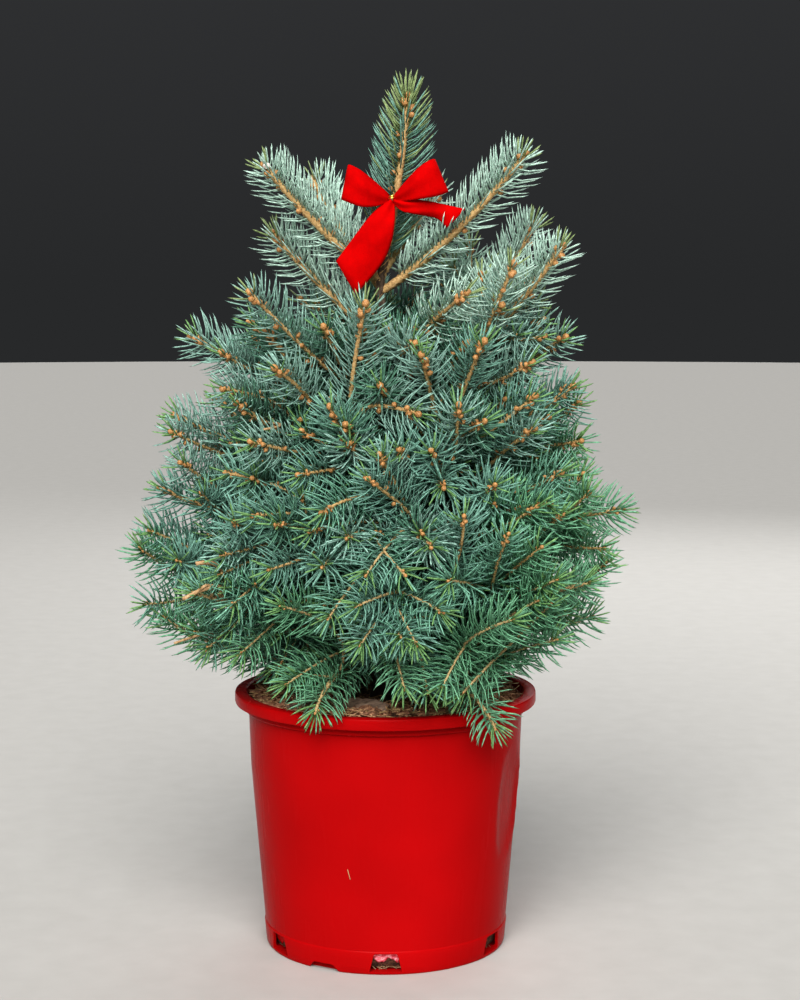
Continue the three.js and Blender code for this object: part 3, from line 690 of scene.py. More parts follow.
def in_space(point, limb, margin):
    """Nearer to its own limb than to any other, and clear of the trunk and of the pot."""
    if not clear_of_pot(point, abs(margin)):
        return False
    if distance_to_line(point, whole_trunk) < trunk_radius(point[2]) + abs(margin):
        return False
    own = distance_to_line(point, limb.line)
    lines = [leader_line] + [other.line for other in limbs if other is not limb]
    return all(distance_to_line(point, line) > own + margin for line in lines)


def fits(start, end, limb, margin):
    shares = (0.3, 0.45, 0.6, 0.75, 0.9, 1)
    return all(in_space(mixed(start, end, share), limb, margin) for share in shares)


def twigs_from(stem, share, ways, seed, limb, margin=MASS_MARGIN, shortest=SHORTEST_TWIG, kind="twig"):
    """The twigs that leave a stem at one node, each shortened until it fits or left out."""
    heading = stem.heading(share)
    upward = np.cross(heading, stem.across)
    start = stem.at(share)
    grown = stem.length * (1 - share)
    made = []
    for index, (way_turn, way_roll, way_length) in enumerate(ways):
        number = seed * 4 + index
        turn = math.radians(way_turn + mixed(-8, 8, chance(number, 1, 1)))
        roll = math.radians(way_roll + mixed(-15, 15, chance(number, 1, 2)))
        direction = heading * math.cos(turn) + stem.across * math.sin(turn) * math.cos(roll)
        direction = direction + upward * math.sin(turn) * math.sin(roll)
        wanted = grown * way_length * mixed(0.88, 1.12, chance(number, 1, 3))
        ends = [start + direction * wanted * trim for trim in TWIG_TRIMS if wanted * trim >= shortest]
        end = next((to for to in ends if fits(start, to, limb, margin)), None)
        if end is not None:
            chord = end - start
            droop = mixed(0.1, -0.09, clamped((start[2] - 0.28) / 0.14))
            bend = (start + end) / 2 + UP * np.linalg.norm(chord) * droop
            twig = Stem(start, bend, end, unit(np.cross(UP, chord)))
            twig.number, twig.kind, twig.limb = number, kind, limb
            made.append(twig)
            if twig.length > FORKED_TWIG and kind == "twig":
                made += twigs_from(twig, 0.5, ways[:2], number, limb, margin, shortest, "fork")
    return made


twigs = []
for limb in limbs:
    limb.kind, limb.limb = "limb", limb
    for year in range(1, limb.years):
        node = year / limb.years + 7 * MM / limb.length
        twigs += twigs_from(limb, node, WAYS, limb.number * 4 + year, limb)
for twig in list(twigs):
    if twig.length > 46 * MM:
        pair = WAYS[:2] if chance(twig.number, 7, 1) < 0.8 else WAYS[1:3]
        twigs += twigs_from(twig, mixed(0.34, 0.5, chance(twig.number, 7, 2)), pair,
                            9000 + twig.number, twig.limb, -12 * MM, 22 * MM, "finer")
twigs = [twig for twig in twigs if twig.at(1.0)[2] > 264 * MM or twig.at(1.0)[1] > 0]

# Outer shoots: the limbs' finer growth fills the crown between them, so that it reads as one
# cone. The shoots of the front stand as the real ones do, as tip and base in millimetres, and
# the other sides are filled by rule with shoots of the same size and lean.
FRONT_SHOOTS = [
    (-93, -126, 540, -50, -80, 499), (-140, -87, 521, -80, -38, 503), (-115, -110, 604, -43, -69, 527),
    (-17, -143, 594, -34, -108, 505), (-114, -130, 478, -50, -77, 458), (-192, -33, 479, -139, 13, 449),
    (-183, -47, 452, -128, 6, 406), (-213, -36, 390, -161, 9, 359), (-222, -39, 374, -181, 7, 337),
    (-130, -131, 409, -112, -59, 385), (-112, -146, 416, -54, -99, 415), (-46, -152, 508, -22, -105, 449),
    (-30, -156, 478, -16, -92, 453), (-4, -140, 526, -1, -75, 498), (26, -152, 504, -31, -106, 513),
    (-15, -174, 450, 34, -126, 408), (-4, -167, 469, 24, -120, 411), (-73, -141, 451, -16, -95, 456),
    (-63, -164, 405, -7, -118, 413), (-32, -171, 400, -15, -115, 403), (-53, -168, 422, -1, -122, 440),
    (-141, -126, 379, -86, -81, 388), (-98, -160, 372, -44, -115, 385), (-133, -130, 336, -90, -84, 368),
    (110, -102, 628, 65, -55, 516), (25, -136, 562, 6, -71, 544), (31, -141, 551, 46, -95, 492),
    (62, -153, 509, 59, -106, 445), (128, -112, 515, 60, -77, 458), (128, -112, 487, 79, -62, 444),
    (127, -83, 543, 76, -37, 512), (161, -28, 564, 114, 18, 526), (141, -26, 579, 93, 20, 541),
    (174, -30, 505, 128, 15, 463), (176, -32, 471, 118, 14, 458), (152, -110, 449, 94, -57, 411),
    (178, -39, 441, 135, 6, 394), (181, -67, 427, 139, -21, 381), (153, -124, 414, 107, -75, 366),
    (129, -136, 422, 77, -86, 383), (104, -160, 401, 86, -112, 336), (49, -164, 442, 44, -99, 459),
    (66, -176, 418, 59, -127, 349), (38, -185, 394, 24, -118, 406), (133, -143, 388, 88, -95, 342),
    (197, -47, 375, 139, -1, 372), (39, -156, 472, 50, -95, 445), (12, -159, 473, 21, -98, 447),
    (93, -146, 442, 78, -81, 417), (200, -39, 360, 155, 11, 306), (147, -134, 359, 96, -88, 327),
    (143, -130, 337, 104, -84, 287), (131, -132, 340, 82, -87, 303), (108, -162, 329, 55, -116, 298),
    (49, -158, 271, 78, -113, 316), (150, -108, 302, 90, -59, 276), (65, -139, 259, 108, -93, 295),
    (53, -181, 365, 78, -120, 354), (48, -185, 339, -2, -140, 359), (-24, -189, 345, 30, -143, 359),
    (-21, -188, 312, 13, -141, 353), (16, -174, 272, 1, -124, 325), (26, -189, 312, 0, -143, 357),
    (36, -151, 264, 25, -105, 314), (-16, -184, 371, 18, -138, 411), (16, -184, 371, -21, -138, 409),
    (-185, -75, 368, -169, -14, 350), (-219, -38, 323, -161, 8, 322), (-143, -126, 363, -91, -80, 380),
    (-159, -82, 289, -110, -29, 328), (-89, -152, 339, -34, -106, 313), (-128, -116, 290, -85, -69, 324),
    (-48, -179, 333, -15, -133, 374), (-53, -175, 376, -40, -114, 386), (-86, -129, 267, -28, -75, 296),
    (83, -147, 563, 62, -102, 508), (69, -111, 604, 21, -62, 562),
]
CROWN_HEIGHTS = [200, 237, 273, 320, 367, 414, 470, 507, 561, 600, 640]
CROWN_RADII = [138, 150, 180, 203, 207, 204, 190, 178, 156, 122, 92]
limb_points = np.concatenate([limb.points[12:110] for limb in limbs])
limb_owner = np.repeat(np.arange(len(limbs)), 98)


def crown_radius(height):
    """How far the crown reaches from the axis at a height."""
    return np.interp(height / MM, CROWN_HEIGHTS, CROWN_RADII) * MM


def joined_to_limb(tip, base, kind, number, pull=0.0):
    """A shoot that leaves the nearest limb further in and lower down, and turns out to its tip."""
    apart = np.linalg.norm(limb_points - base, axis=1)
    higher = np.maximum(0, limb_points[:, 2] - base[2])
    reach = np.hypot(limb_points[:, 0], limb_points[:, 1])
    further = np.maximum(0, reach - math.hypot(base[0], base[1]))
    nearest = int(np.argmin(apart + 0.6 * higher + 0.8 * further))
    bend = base + pull * (base - (limb_points[nearest] + tip) / 2)
    shoot = Stem(limb_points[nearest], bend, tip, unit(np.cross(UP, tip - base)))
    shoot.kind, shoot.number, shoot.limb = kind, number, limbs[limb_owner[nearest]]
    return shoot


GOLDEN_ANGLE = 2.39996
EVEN_STEP = 0.7548777


def lowest_shoot(azimuth):
    """Shoots hang lowest at the back, less at the sides and least in front, over the open mix."""
    return (302 if math.sin(azimuth) < 0 else 276 if math.sin(azimuth) < 0.4 else 244) * MM


def filled_by_rule(shoots, taken, seed, count, depth, apart, length, low, high, kind):
    """Shoots set round the crown by the golden angle wherever no tip is near yet."""
    dice = np.random.default_rng(seed)
    for index in range(count):
        azimuth = index * GOLDEN_ANGLE
        height = mixed(low, high, (index * EVEN_STEP) % 1) * MM
        flattened = 1 - 0.2 * max(0, -math.sin(azimuth)) - 0.08 * math.cos(azimuth) ** 2
        radius = crown_radius(height) * dice.uniform(*depth) * flattened
        size = dice.uniform(*length) * MM
        yaw = azimuth + math.radians(dice.normal(0, 26))
        rise = np.interp(height / MM, [230, 290, 380, 500, 600], [-26, -6, 16, 32, 46])
        rise = math.radians(rise + dice.normal(0, 10))
        tip = np.array([radius * math.cos(azimuth), radius * math.sin(azimuth), height])
        if np.linalg.norm(np.array(taken) - tip, axis=1).min() < apart * MM:
            continue
        if height < lowest_shoot(azimuth):
            continue
        level = math.cos(rise)
        base = tip - size * np.array([math.cos(yaw) * level, math.sin(yaw) * level, math.sin(rise)])
        if not all(clear_of_pot(mixed(base, tip, share), 5 * MM) for share in (0, 0.5, 1)):
            continue
        shoot = joined_to_limb(tip, base, kind, seed * 1000 + index)
        if shoot.length < 0.16 and distance_to_line(base, whole_trunk) > 0.016:
            shoots.append(shoot)
            taken.append(tip)


outer = [joined_to_limb(np.array(row[:3]) * MM, np.array(row[3:]) * MM, "outer", 700 + index, 0.35)
         for index, row in enumerate(FRONT_SHOOTS)]
taken = [stem.at(1.0) for stem in outer + limbs + twigs]
taken += [stem.at(0.7) for stem in outer]
filled_by_rule(outer, taken, seed=21, count=2600, depth=(0.88, 1.0), apart=34, length=(70, 104),
               low=226, high=590, kind="outer")
filled_by_rule(outer, [trunk_point(TRUNK_TOP)], seed=22, count=900, depth=(0.6, 0.78), apart=40,
               length=(50, 74), low=262, high=575, kind="inner")
filled_by_rule(outer, [trunk_point(TRUNK_TOP)], seed=23, count=500, depth=(0.34, 0.5), apart=36,
               length=(34, 48), low=272, high=590, kind="deep")


# Boughs: the bare older wood of the lower limbs, brown and rough with the small pegs that
# needles leave. Each is a shaft laid along its limb, and all of them are one piece.
def laid_along(stem, low, high, radius_low, radius_high, sides, pegs, seed):
    """A shaft bent onto a stretch of a stem, with the small pegs that needles leave on it."""
    rings = max(3, int((high - low) * stem.length / (3.2 * MM)))
    if (sides, rings) not in shafts:
        shafts[sides, rings] = template(sleeve(sides, rings))
    corners, faces = shafts[sides, rings]
    share = mixed(low, high, corners[:, 2])
    heading, sideways, upward = stem.frame(share)
    angle = np.arctan2(corners[:, 1], corners[:, 0])
    ring = np.round(corners[:, 2] * (rings + 1))
    bumps = np.sin(np.round(angle * 9) * 12.9898 + ring * 78.233 + seed)
    radius = mixed(radius_low, radius_high, corners[:, 2]) * (1 + pegs * bumps)
    radius = np.where(np.hypot(corners[:, 0], corners[:, 1]) < 0.5, 0, radius)
    placed = stem.at(share) + sideways * (radius * np.cos(angle))[:, None]
    placed = placed + upward * (radius * np.sin(angle))[:, None]
    return placed[None], faces


shafts = {}
for limb in limbs:
    limb.root_radius = min(4.0 * MM, 0.62 * trunk_radius(limb.line[0][2])) if limb.years > 1 else 3.9 * MM
    limb.tip_radius = mixed(1.3, 2.5, clamped((limb.line[-1][2] - 0.3) / 0.3)) * MM
for twig in twigs + outer:
    vigour = mixed(0.5, 1.12, clamped((twig.at(1.0)[2] - 0.32) / 0.2))
    grown = min(1, twig.length / (95 * MM)) * vigour
    twig.root_radius = mixed(0.7, 2.1, grown) * MM
    twig.tip_radius = mixed(0.55, 1.6, grown) * MM

boughs = []
for limb in limbs:
    if limb.has_bough:
        bare_end = 1 / limb.years
        end_radius = mixed(limb.root_radius, limb.tip_radius, bare_end)
        boughs.append(laid_along(limb, 0, bare_end, limb.root_radius, end_radius, 10, 0.12, limb.number))
bough_bark = bark_finish("bough_bark", (0.04, 0.024, 0.014), (0.14, 0.082, 0.042), (0.3, 0.19, 0.1), 420,
                         (1, 1, 1), 0.6)
show("boughs", joined("boughs", boughs), bough_bark, "bough_bark",
     *[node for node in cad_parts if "bough" in node])

# Twigs: this year's shoots are tan to orange high in the crown and straw-coloured low down,
# and the older wood behind them is brown. All are rough with pegs.
LEADER_FOOT, LEADER_RADII = 600 * MM, (4.0 * MM, 2.7 * MM)
tan, straw, brown = [], [], []
for limb in limbs:
    low = 1 / limb.years if limb.has_bough else 0
    cut = max(low, 1 - 1 / limb.years if limb.years > 1 else 0)
    radius = [mixed(limb.root_radius, limb.tip_radius, share) for share in (low, cut, 1)]
    if cut > low + 0.01:
        brown.append(laid_along(limb, low, cut, radius[0], radius[1], 7, 0.16, limb.number))
    (tan if limb.line[-1][2] > 0.37 else straw).append(
        laid_along(limb, cut, 1, radius[1], radius[2], 9, 0.26, limb.number))
for twig in twigs + outer:
    group = tan if twig.at(1.0)[2] > mixed(0.33, 0.42, chance(twig.number, 5, 5)) else straw
    if twig.kind in ("inner", "deep") or (twig.kind == "finer" and chance(twig.number, 5, 6) < 0.4):
        group = brown
    group.append(laid_along(twig, 0, 1, twig.root_radius, twig.tip_radius, 5, 0.18, twig.number))
leader = Stem(trunk_point(LEADER_FOOT), trunk_point(690 * MM), trunk_point(TRUNK_TOP), np.array([0, 1.0, 0]))
leader.points = np.array([trunk_point(h) for h in np.linspace(LEADER_FOOT, TRUNK_TOP, STEM_POINTS + 1)])
leader.tangents = unit(np.gradient(leader.points, axis=0))
leader.length = np.linalg.norm(np.diff(leader.points, axis=0), axis=1).sum()
leader.kind, leader.number = "leader", 1
leader.root_radius, leader.tip_radius = LEADER_RADII
tan.append(laid_along(leader, 0, 1, *LEADER_RADII, 10, 0.24, 3))
mass_nodes = [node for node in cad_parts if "mass" in node]
for name, group, colours in (
    ("tan_twigs", tan, ((0.2, 0.1, 0.036), (0.53, 0.34, 0.145), (0.74, 0.55, 0.29))),
    ("straw_twigs", straw, ((0.24, 0.15, 0.07), (0.5, 0.35, 0.17), (0.7, 0.54, 0.3))),
    ("brown_twigs", brown, ((0.05, 0.027, 0.014), (0.17, 0.094, 0.044), (0.34, 0.2, 0.1))),
):
    twig_bark = bark_finish(name, *colours, 520, (1, 1, 1), 0.5)
    show(name, joined(name, group), twig_bark, "bough_bark", *mass_nodes)

# Bow: flat red velvet ribbon tied in two loops and two tails, and held to the leader by a
# twist of gold wire. Each strip is given by its two edges, as x and z with the depth y.
RIBBONS = {
    "left_loop": [
        (4.4, 692.5, 4.4, 686.1, -14.0), (-8.1, 703.1, -9.0, 682.0, -25.0),
        (-20.6, 712.9, -21.5, 681.4, -31.0), (-30.5, 718.4, -35.9, 686.5, -28.0),
        (-33.2, 718.3, -39.2, 688.5, -22.0), (-29.8, 716.6, -34.4, 688.9, -13.0),
        (-19.9, 710.5, -20.0, 686.3, -9.0), (-7.3, 699.8, -6.4, 688.2, -8.0),
        (4.5, 690.8, 4.5, 687.3, -9.0),
    ],
    "right_loop": [
        (7.2, 691.5, 7.2, 687.1, -14.0), (17.0, 702.6, 17.9, 686.6, -25.0),
        (29.4, 715.6, 31.2, 688.2, -31.0), (40.2, 722.8, 46.5, 690.9, -29.0),
        (44.8, 723.6, 56.6, 694.8, -22.0), (40.5, 721.0, 52.3, 695.2, -13.0),
        (29.8, 713.2, 35.2, 691.7, -9.0), (17.1, 700.7, 19.9, 689.1, -8.0), (7.2, 690.8, 7.2, 687.3, -9.0),
    ],
    "left_tail": [
        (2.6, 688.8, 8.1, 687.0, -15.0), (-6.4, 680.5, 8.9, 676.1, -22.0),
        (-14.4, 672.3, 8.0, 663.4, -27.0), (-23.4, 660.8, 5.3, 649.2, -27.0),
        (-33.4, 647.5, -3.7, 629.6, -24.0), (-44.2, 633.1, -26.3, 602.7, -24.0),
    ],
    "right_tail": [
        (8.1, 690.1, 6.7, 685.2, -15.0), (17.0, 688.5, 15.2, 677.8, -22.0),
        (29.6, 687.6, 26.9, 675.1, -24.0), (40.4, 686.4, 37.7, 673.4, -21.0),
        (53.1, 683.8, 47.7, 670.8, -18.0), (72.0, 679.7, 55.8, 662.7, -20.0),
    ],
}


def smooth_rows(rows, steps):
    """Points of a smooth line through every row, with a few steps between each two."""
    rows = np.array(rows, float)
    padded = np.concatenate([[2 * rows[0] - rows[1]], rows, [2 * rows[-1] - rows[-2]]])
    made = []
    for index in range(len(rows) - 1):
        a, b, c, d = padded[index:index + 4]
        for t in np.arange(steps) / steps:
            made.append(0.5 * (2 * b + (c - a) * t + (2 * a - 5 * b + 4 * c - d) * t ** 2
                               + (3 * b - a - 3 * c + d) * t ** 3))
    return np.array(made + [rows[-1]])


RIBBON_STEPS = 11
RIBBON_THICKNESS = 0.7 * MM
bow_shape = bmesh.new()
for name, rows in RIBBONS.items():
    rows = smooth_rows(rows, 5)
    grid = bmesh.ops.create_grid(bow_shape, x_segments=len(rows) - 1, y_segments=RIBBON_STEPS, size=0.5)
    for vert in grid["verts"]:
        row = rows[round((vert.co.x + 0.5) * (len(rows) - 1))]
        side, along = vert.co.y + 0.5, vert.co.x + 0.5
        crease = 1.4 * math.sin(side * 9 + along * 7) * (1 - along if "tail" in name else 0.6)
        crown = -3.0 * math.sin(math.pi * side) * (1 if row[4] < -15 or "tail" in name else -1)
        vert.co = Vector((mixed(row[0], row[2], side), row[4] + crease + crown,
                          mixed(row[1], row[3], side))) * MM
velvet = grained("red_velvet", 90, [(0.35, (0.48, 0.0, 0.0005)), (0.65, (0.57, 0.0, 0.0005))], detail=2,
                 Roughness=0.85, Specular_IOR_Level=0.05, Sheen_Weight=0.02, Sheen_Roughness=0.4,
                 Sheen_Tint=(1, 0.12, 0.08, 1))
bumped(velvet.node_tree, noise_field(velvet.node_tree, 1500), 0.5, 0.0006)
bow = show("bow", finished(bow_shape, "bow", 60), velvet, "needles")
thick = bow.modifiers.new("ribbon", "SOLIDIFY")
thick.thickness, thick.offset = RIBBON_THICKNESS, 0
ribbon_tree = BVHTree.FromObject(bow, bpy.context.evaluated_depsgraph_get())

# Gold wire: two turns of thin bright wire round the knot and the leader, with the two ends
# twisted off behind them. Each turn and each end is a round tube laid along a line of points.
TIE_HEIGHT = 689 * MM
WIRE_RADIUS, WIRE_END_RADIUS = 0.9 * MM, 0.6 * MM
tie = trunk_point(TIE_HEIGHT)
ring = np.linspace(0, math.tau, 41)[:-1]
loop = np.stack([tie[0] - 2.5 * MM + 7.5 * MM * np.cos(ring), -6 * MM + 13.4 * MM * np.sin(ring),
                 TIE_HEIGHT + 1.2 * MM * np.cos(ring + 0.6)], 1)
loop[:, 0] = np.where(loop[:, 1] < -6 * MM, mixed(loop[:, 0], 5.0 * MM, 0.45), loop[:, 0])


def wire_along(points, radius, sides=8, closed=False):
    """A round tube along a line of points, closed into a ring or with capped ends."""
    steps = np.roll(points, -1, 0) - np.roll(points, 1, 0) if closed else np.gradient(points, axis=0)
    tangents = unit(steps)
    first = unit(np.cross(tangents, UP + 0.01))
    second = np.cross(tangents, first)
    around = np.arange(sides) * math.tau / sides
    corners = points[:, None] + radius * (first[:, None] * np.cos(around)[None, :, None]
                                          + second[:, None] * np.sin(around)[None, :, None])
    count, faces = len(points), []
    for row in range(count if closed else count - 1):
        for side in range(sides):
            a, b = row * sides + side, row * sides + (side + 1) % sides
            c, d = (b + sides) % (count * sides), (a + sides) % (count * sides)
            faces += [(a, b, c), (a, c, d)]
    if not closed:
        faces += [(0, i + 1, i) for i in range(1, sides - 1)]
        last = (count - 1) * sides
        faces += [(last, last + i, last + i + 1) for i in range(1, sides - 1)]
    return corners.reshape(1, -1, 3), np.array(faces)


twist = np.linspace(0, 1, 30)
ends = [np.stack([tie[0] - 3 * MM + sign * 1.1 * MM * np.cos(twist * 12) - sign * 4 * MM * twist ** 3,
                  7.5 * MM + 1.1 * MM * np.sin(twist * 12) * sign, TIE_HEIGHT + 12 * MM * twist], 1)
        for sign in (1, -1)]
turns = (loop, loop + (0, 0, 2 * WIRE_RADIUS))
wire = [wire_along(turn, WIRE_RADIUS, closed=True) for turn in turns]
wire += [wire_along(line, WIRE_END_RADIUS) for line in ends]
gold = grained("gold_wire", 800, [(0.3, (0.85, 0.62, 0.12)), (0.7, (1.0, 0.84, 0.25))],
               Metallic=1.0, Roughness=0.4)
show("gold_wire", joined("gold_wire", wire), gold, "needles")

# Needles: stiff, blunt and 20 to 28 mm long, each drawn with three sides. They stand round the
# shoots, part along the outer side so that the stem shows, and curve towards its tip. Each
# shoot has one of a few waxy tints, with fresher ones round its bud. Shoots inside the crown
# get darker tints as painted shade: the shaded and deep tints are painted shade only, and the
# older tint is the darker colour of older needles together with painted shade.
needle_shape = bmesh.new()
bmesh.ops.create_cone(needle_shape, cap_ends=True, segments=3, radius1=0.4, radius2=0, depth=1)
bmesh.ops.translate(needle_shape, verts=needle_shape.verts, vec=(0, 0, 0.5))
slanted = [e for e in needle_shape.edges if abs(e.verts[0].co.z - e.verts[1].co.z) > 0.5]
bmesh.ops.subdivide_edges(needle_shape, edges=slanted, cuts=2)
for vert in needle_shape.verts:
    out = math.hypot(vert.co.x, vert.co.y)
    if out > 0.05 and vert.co.z > 0.2:
        radius, height = (0.52, 0.45) if vert.co.z < 0.5 else (0.46, 0.86)
        vert.co = (vert.co.x / out * radius, vert.co.y / out * radius, height)
needle = template(needle_shape)
TINTS = {
    "silver_needles": (0.46, 0.64, 0.55),
    "frosted_needles": (0.27, 0.445, 0.38),
    "blue_needles": (0.185, 0.365, 0.295),
    "sea_needles": (0.18, 0.39, 0.285),
    "green_needles": (0.165, 0.385, 0.235),
    # The older tint is the darker colour of older needles, darkened further as painted shade.
    "older_and_shaded_needles": (0.105, 0.24, 0.17),
    # The shaded and deep tints are painted shade for shoots inside the crown.
    "shaded_needles": (0.05, 0.145, 0.08),
    "deep_shade_needles": (0.018, 0.06, 0.035),
    "fresh_needles": (0.17, 0.33, 0.125),
    "olive_needles": (0.25, 0.33, 0.145),
}
TINT_BY_SCORE = [(0.85, "silver_needles"), (0.55, "frosted_needles"), (0.3, "blue_needles"),
                 (0.08, "sea_needles"), (-9, "green_needles")]
SILVER_HEIGHT, OLIVE_HEIGHT = 640 * MM, 580 * MM
LIP_INSIDE, NEEDLE_FLOOR = 126.5 * MM, 229 * MM
NEEDLE_WIDTH, TIP_LEAN = 1.8 * MM, 26
NEEDLE_SPACING = {"outer": 0.84, "limb": 0.8, "twig": 0.92}
FINE_SPACING, TOP_SPACING = 1.15, 0.58
batches = {name: [] for name in TINTS}


def needles_on(stem, bare, length, spacing, width, tint, dice, steep=80, fresh=0.5, tuft=0.6, open_to=None,
               tip_zone=15 * MM):
    """Needles in a spiral round a stem, each curved towards its tip, dealt out to tints."""
    count = int((1 - bare) * stem.length / spacing)
    if count < 3:
        return
    share = 1 - (1 - bare) * ((np.arange(count) + 0.5) / count) ** 1.1
    heading, sideways, upward = stem.frame(share)
    middle = stem.at(0.8)
    outward = unit(np.array([middle[0], middle[1], 0.02]) if open_to is None else np.array(open_to))
    across_part, upward_part = (sideways * outward).sum(1), (upward * outward).sum(1)
    from_tip = (1 - share) * stem.length
    near_tip = np.clip(1 - from_tip / tip_zone, 0, 1)
    facing = np.arctan2(upward_part, across_part)
    parted = np.hypot(across_part, upward_part) * (1 - 0.6 * near_tip)
    round_it = np.arange(count) * GOLDEN_ANGLE + dice.uniform(0, math.tau) + dice.normal(0, 0.13, count)
    spin = facing + round_it + parted * (0.3 * np.sin(round_it) + 0.24 * np.sin(2 * round_it))
    radial = sideways * np.cos(spin)[:, None] + upward * np.sin(spin)[:, None]
    lean = mixed(steep, TIP_LEAN, near_tip ** 1.8) + dice.normal(0, 1, count) * mixed(3.5, 11, near_tip)
    lean = np.radians(lean)
    direction = heading * np.cos(lean)[:, None] + radial * np.sin(lean)[:, None]
    direction = unit(direction + UP * mixed(0.1, 0.02, near_tip)[:, None])
    size = length * dice.uniform(0.9, 1.06, count) * mixed(1, tuft, near_tip)
    size = size * mixed(0.75, 1, np.clip((share - bare) * stem.length / (12 * MM), 0, 1))
    bow = size * dice.uniform(0.42, 0.6, count) * mixed(1, 0.4, near_tip)
    bow = unit(heading + UP * 0.1) * bow[:, None]
    side = unit(np.cross(direction, heading))
    other = np.cross(direction, side)
    sunk = mixed(stem.root_radius, stem.tip_radius, share) * 0.6
    start = stem.at(share) + radial * sunk[:, None]
    wide = width * dice.uniform(0.88, 1.12, count)
    corners, faces = needle
    t = corners[:, 2]
    placed = start[:, None] + direction[:, None] * (size[:, None] * t)[:, :, None]
    placed += bow[:, None] * (t ** 2)[None, :, None]
    placed += side[:, None] * (wide[:, None] * corners[:, 0])[:, :, None]
    placed += other[:, None] * (wide[:, None] * corners[:, 1])[:, :, None]
    keep = dice.uniform(0, 1, count) > 0.6 * parted * (np.cos(round_it) > 0.8)
    for spots in (placed[:, t > 0.99].mean(1), placed.mean(1)):
        out = np.hypot(spots[:, 0], spots[:, 1])
        in_pot = (out < RIM_RADIUS + 1 * MM) & (spots[:, 2] < POT_HEIGHT + 1 * MM)
        keep &= ~(in_pot & ((out > LIP_INSIDE) | (spots[:, 2] < NEEDLE_FLOOR)))
    for index in np.flatnonzero(keep & (start[:, 2] > 0.6) & (start[:, 1] < 0.02)):
        points = [Vector(start[index] + direction[index] * size[index] * part + bow[index] * part ** 2)
                  for part in (0, 0.5, 1)]
        for one, two in zip(points, points[1:]):
            if ribbon_tree.ray_cast(one, two - one, (two - one).length)[0] is not None:
                keep[index] = False
    new = near_tip + 0.3 * np.clip(1 - from_tip / (40 * MM), 0, 1) > dice.uniform(1 - fresh, 1.3, count)
    new_tint = "olive_needles" if stem.at(1.0)[2] > OLIVE_HEIGHT else "fresh_needles"
    for mask, name in ((keep & new, new_tint), (keep & ~new, tint)):
        if mask.any():
            batches[name].append((placed[mask], faces))


dice = np.random.default_rng(5)
for stem in limbs + twigs + outer:
    middle = stem.at(0.75)
    depth = math.hypot(middle[0], middle[1]) / crown_radius(middle[2])
    greener_side = max(0, middle[0] - 0.08) / 0.1 * clamped((0.53 - middle[2]) / 0.1)
    score = (middle[2] - 0.25) / 0.4 - 0.9 * greener_side + dice.normal(0, 0.15)
    score = min(score, 0.84) if stem.at(1.0)[2] < 0.6 else score
    tint = next(name for level, name in TINT_BY_SCORE if score > level)
    at_top = stem.at(1.0)[2] > SILVER_HEIGHT
    if at_top:
        tint = "silver_needles"
    # Inner and deep shoots, and shoots far inside the crown, take the shaded or deep tint: painted shade.
    elif stem.kind in ("inner", "deep") or depth < 0.45:
        tint = "deep_shade_needles" if stem.kind == "deep" or dice.uniform() < 0.4 else "shaded_needles"
    # Shoots just inside the crown's surface take the older tint: older needles, darker also as painted shade
    # for the gaps between sprays.
    elif depth < 0.68:
        tint = "older_and_shaded_needles"
    bare = 0.6 / stem.years if stem.kind == "limb" and stem.years > 1 else 0.12
    spacing = TOP_SPACING if at_top else NEEDLE_SPACING.get(stem.kind, FINE_SPACING)
    length = mixed(20, 27, min(1, stem.length / 0.09)) * MM
    needles_on(stem, bare, length, spacing * MM, NEEDLE_WIDTH, tint, dice,
               fresh=0.42 if middle[2] < 0.36 else 0.22,
               open_to=(middle[0] * 2, middle[1] - 0.1, 0) if at_top else None)
needles_on(leader, 0.22, 30 * MM, 0.46 * MM, 1.75 * MM, "blue_needles", dice, steep=72, fresh=1.3, tuft=0.75,
           open_to=(0.2, -1, 0), tip_zone=50 * MM)

for name, colour in TINTS.items():
    pale = tuple(c * 1.5 + 0.02 for c in colour)
    dark = tuple(c * 0.6 for c in colour)
    wax = grained(name, 300, [(0.3, dark), (0.7, pale)], Roughness=0.45, Specular_IOR_Level=0.25)
    show(name, joined(name, batches[name]), wax, "needles", *mass_nodes)

# Buds: round, scaly and orange-brown, at each shoot's tip with a few smaller ones below it.
# Strong shoots high in the crown have bigger ones, and more of them along their sides.
SMALL_BUD, BIG_BUD = 2.6, 6.9
bud_shape = bmesh.new()
bmesh.ops.create_uvsphere(bud_shape, u_segments=7, v_segments=5, radius=0.5)
for vert in bud_shape.verts:
    vert.co.z *= 1.2 if vert.co.z > 0 else 0.9
bud = template(bud_shape)
buds = []


def bud_at(place, heading, size, dice):
    """One bud, turned along its heading and swollen a little unevenly."""
    corners, faces = bud
    side = unit(np.cross(heading, UP + dice.normal(0, 0.2, 3)))
    other = np.cross(heading, side)
    swell = 1 + dice.normal(0, 0.05, len(corners))
    placed = place + (side * corners[:, :1] + other * corners[:, 1:2]) * (size * swell)[:, None]
    buds.append(((placed + heading * corners[:, 2:] * size)[None], faces))


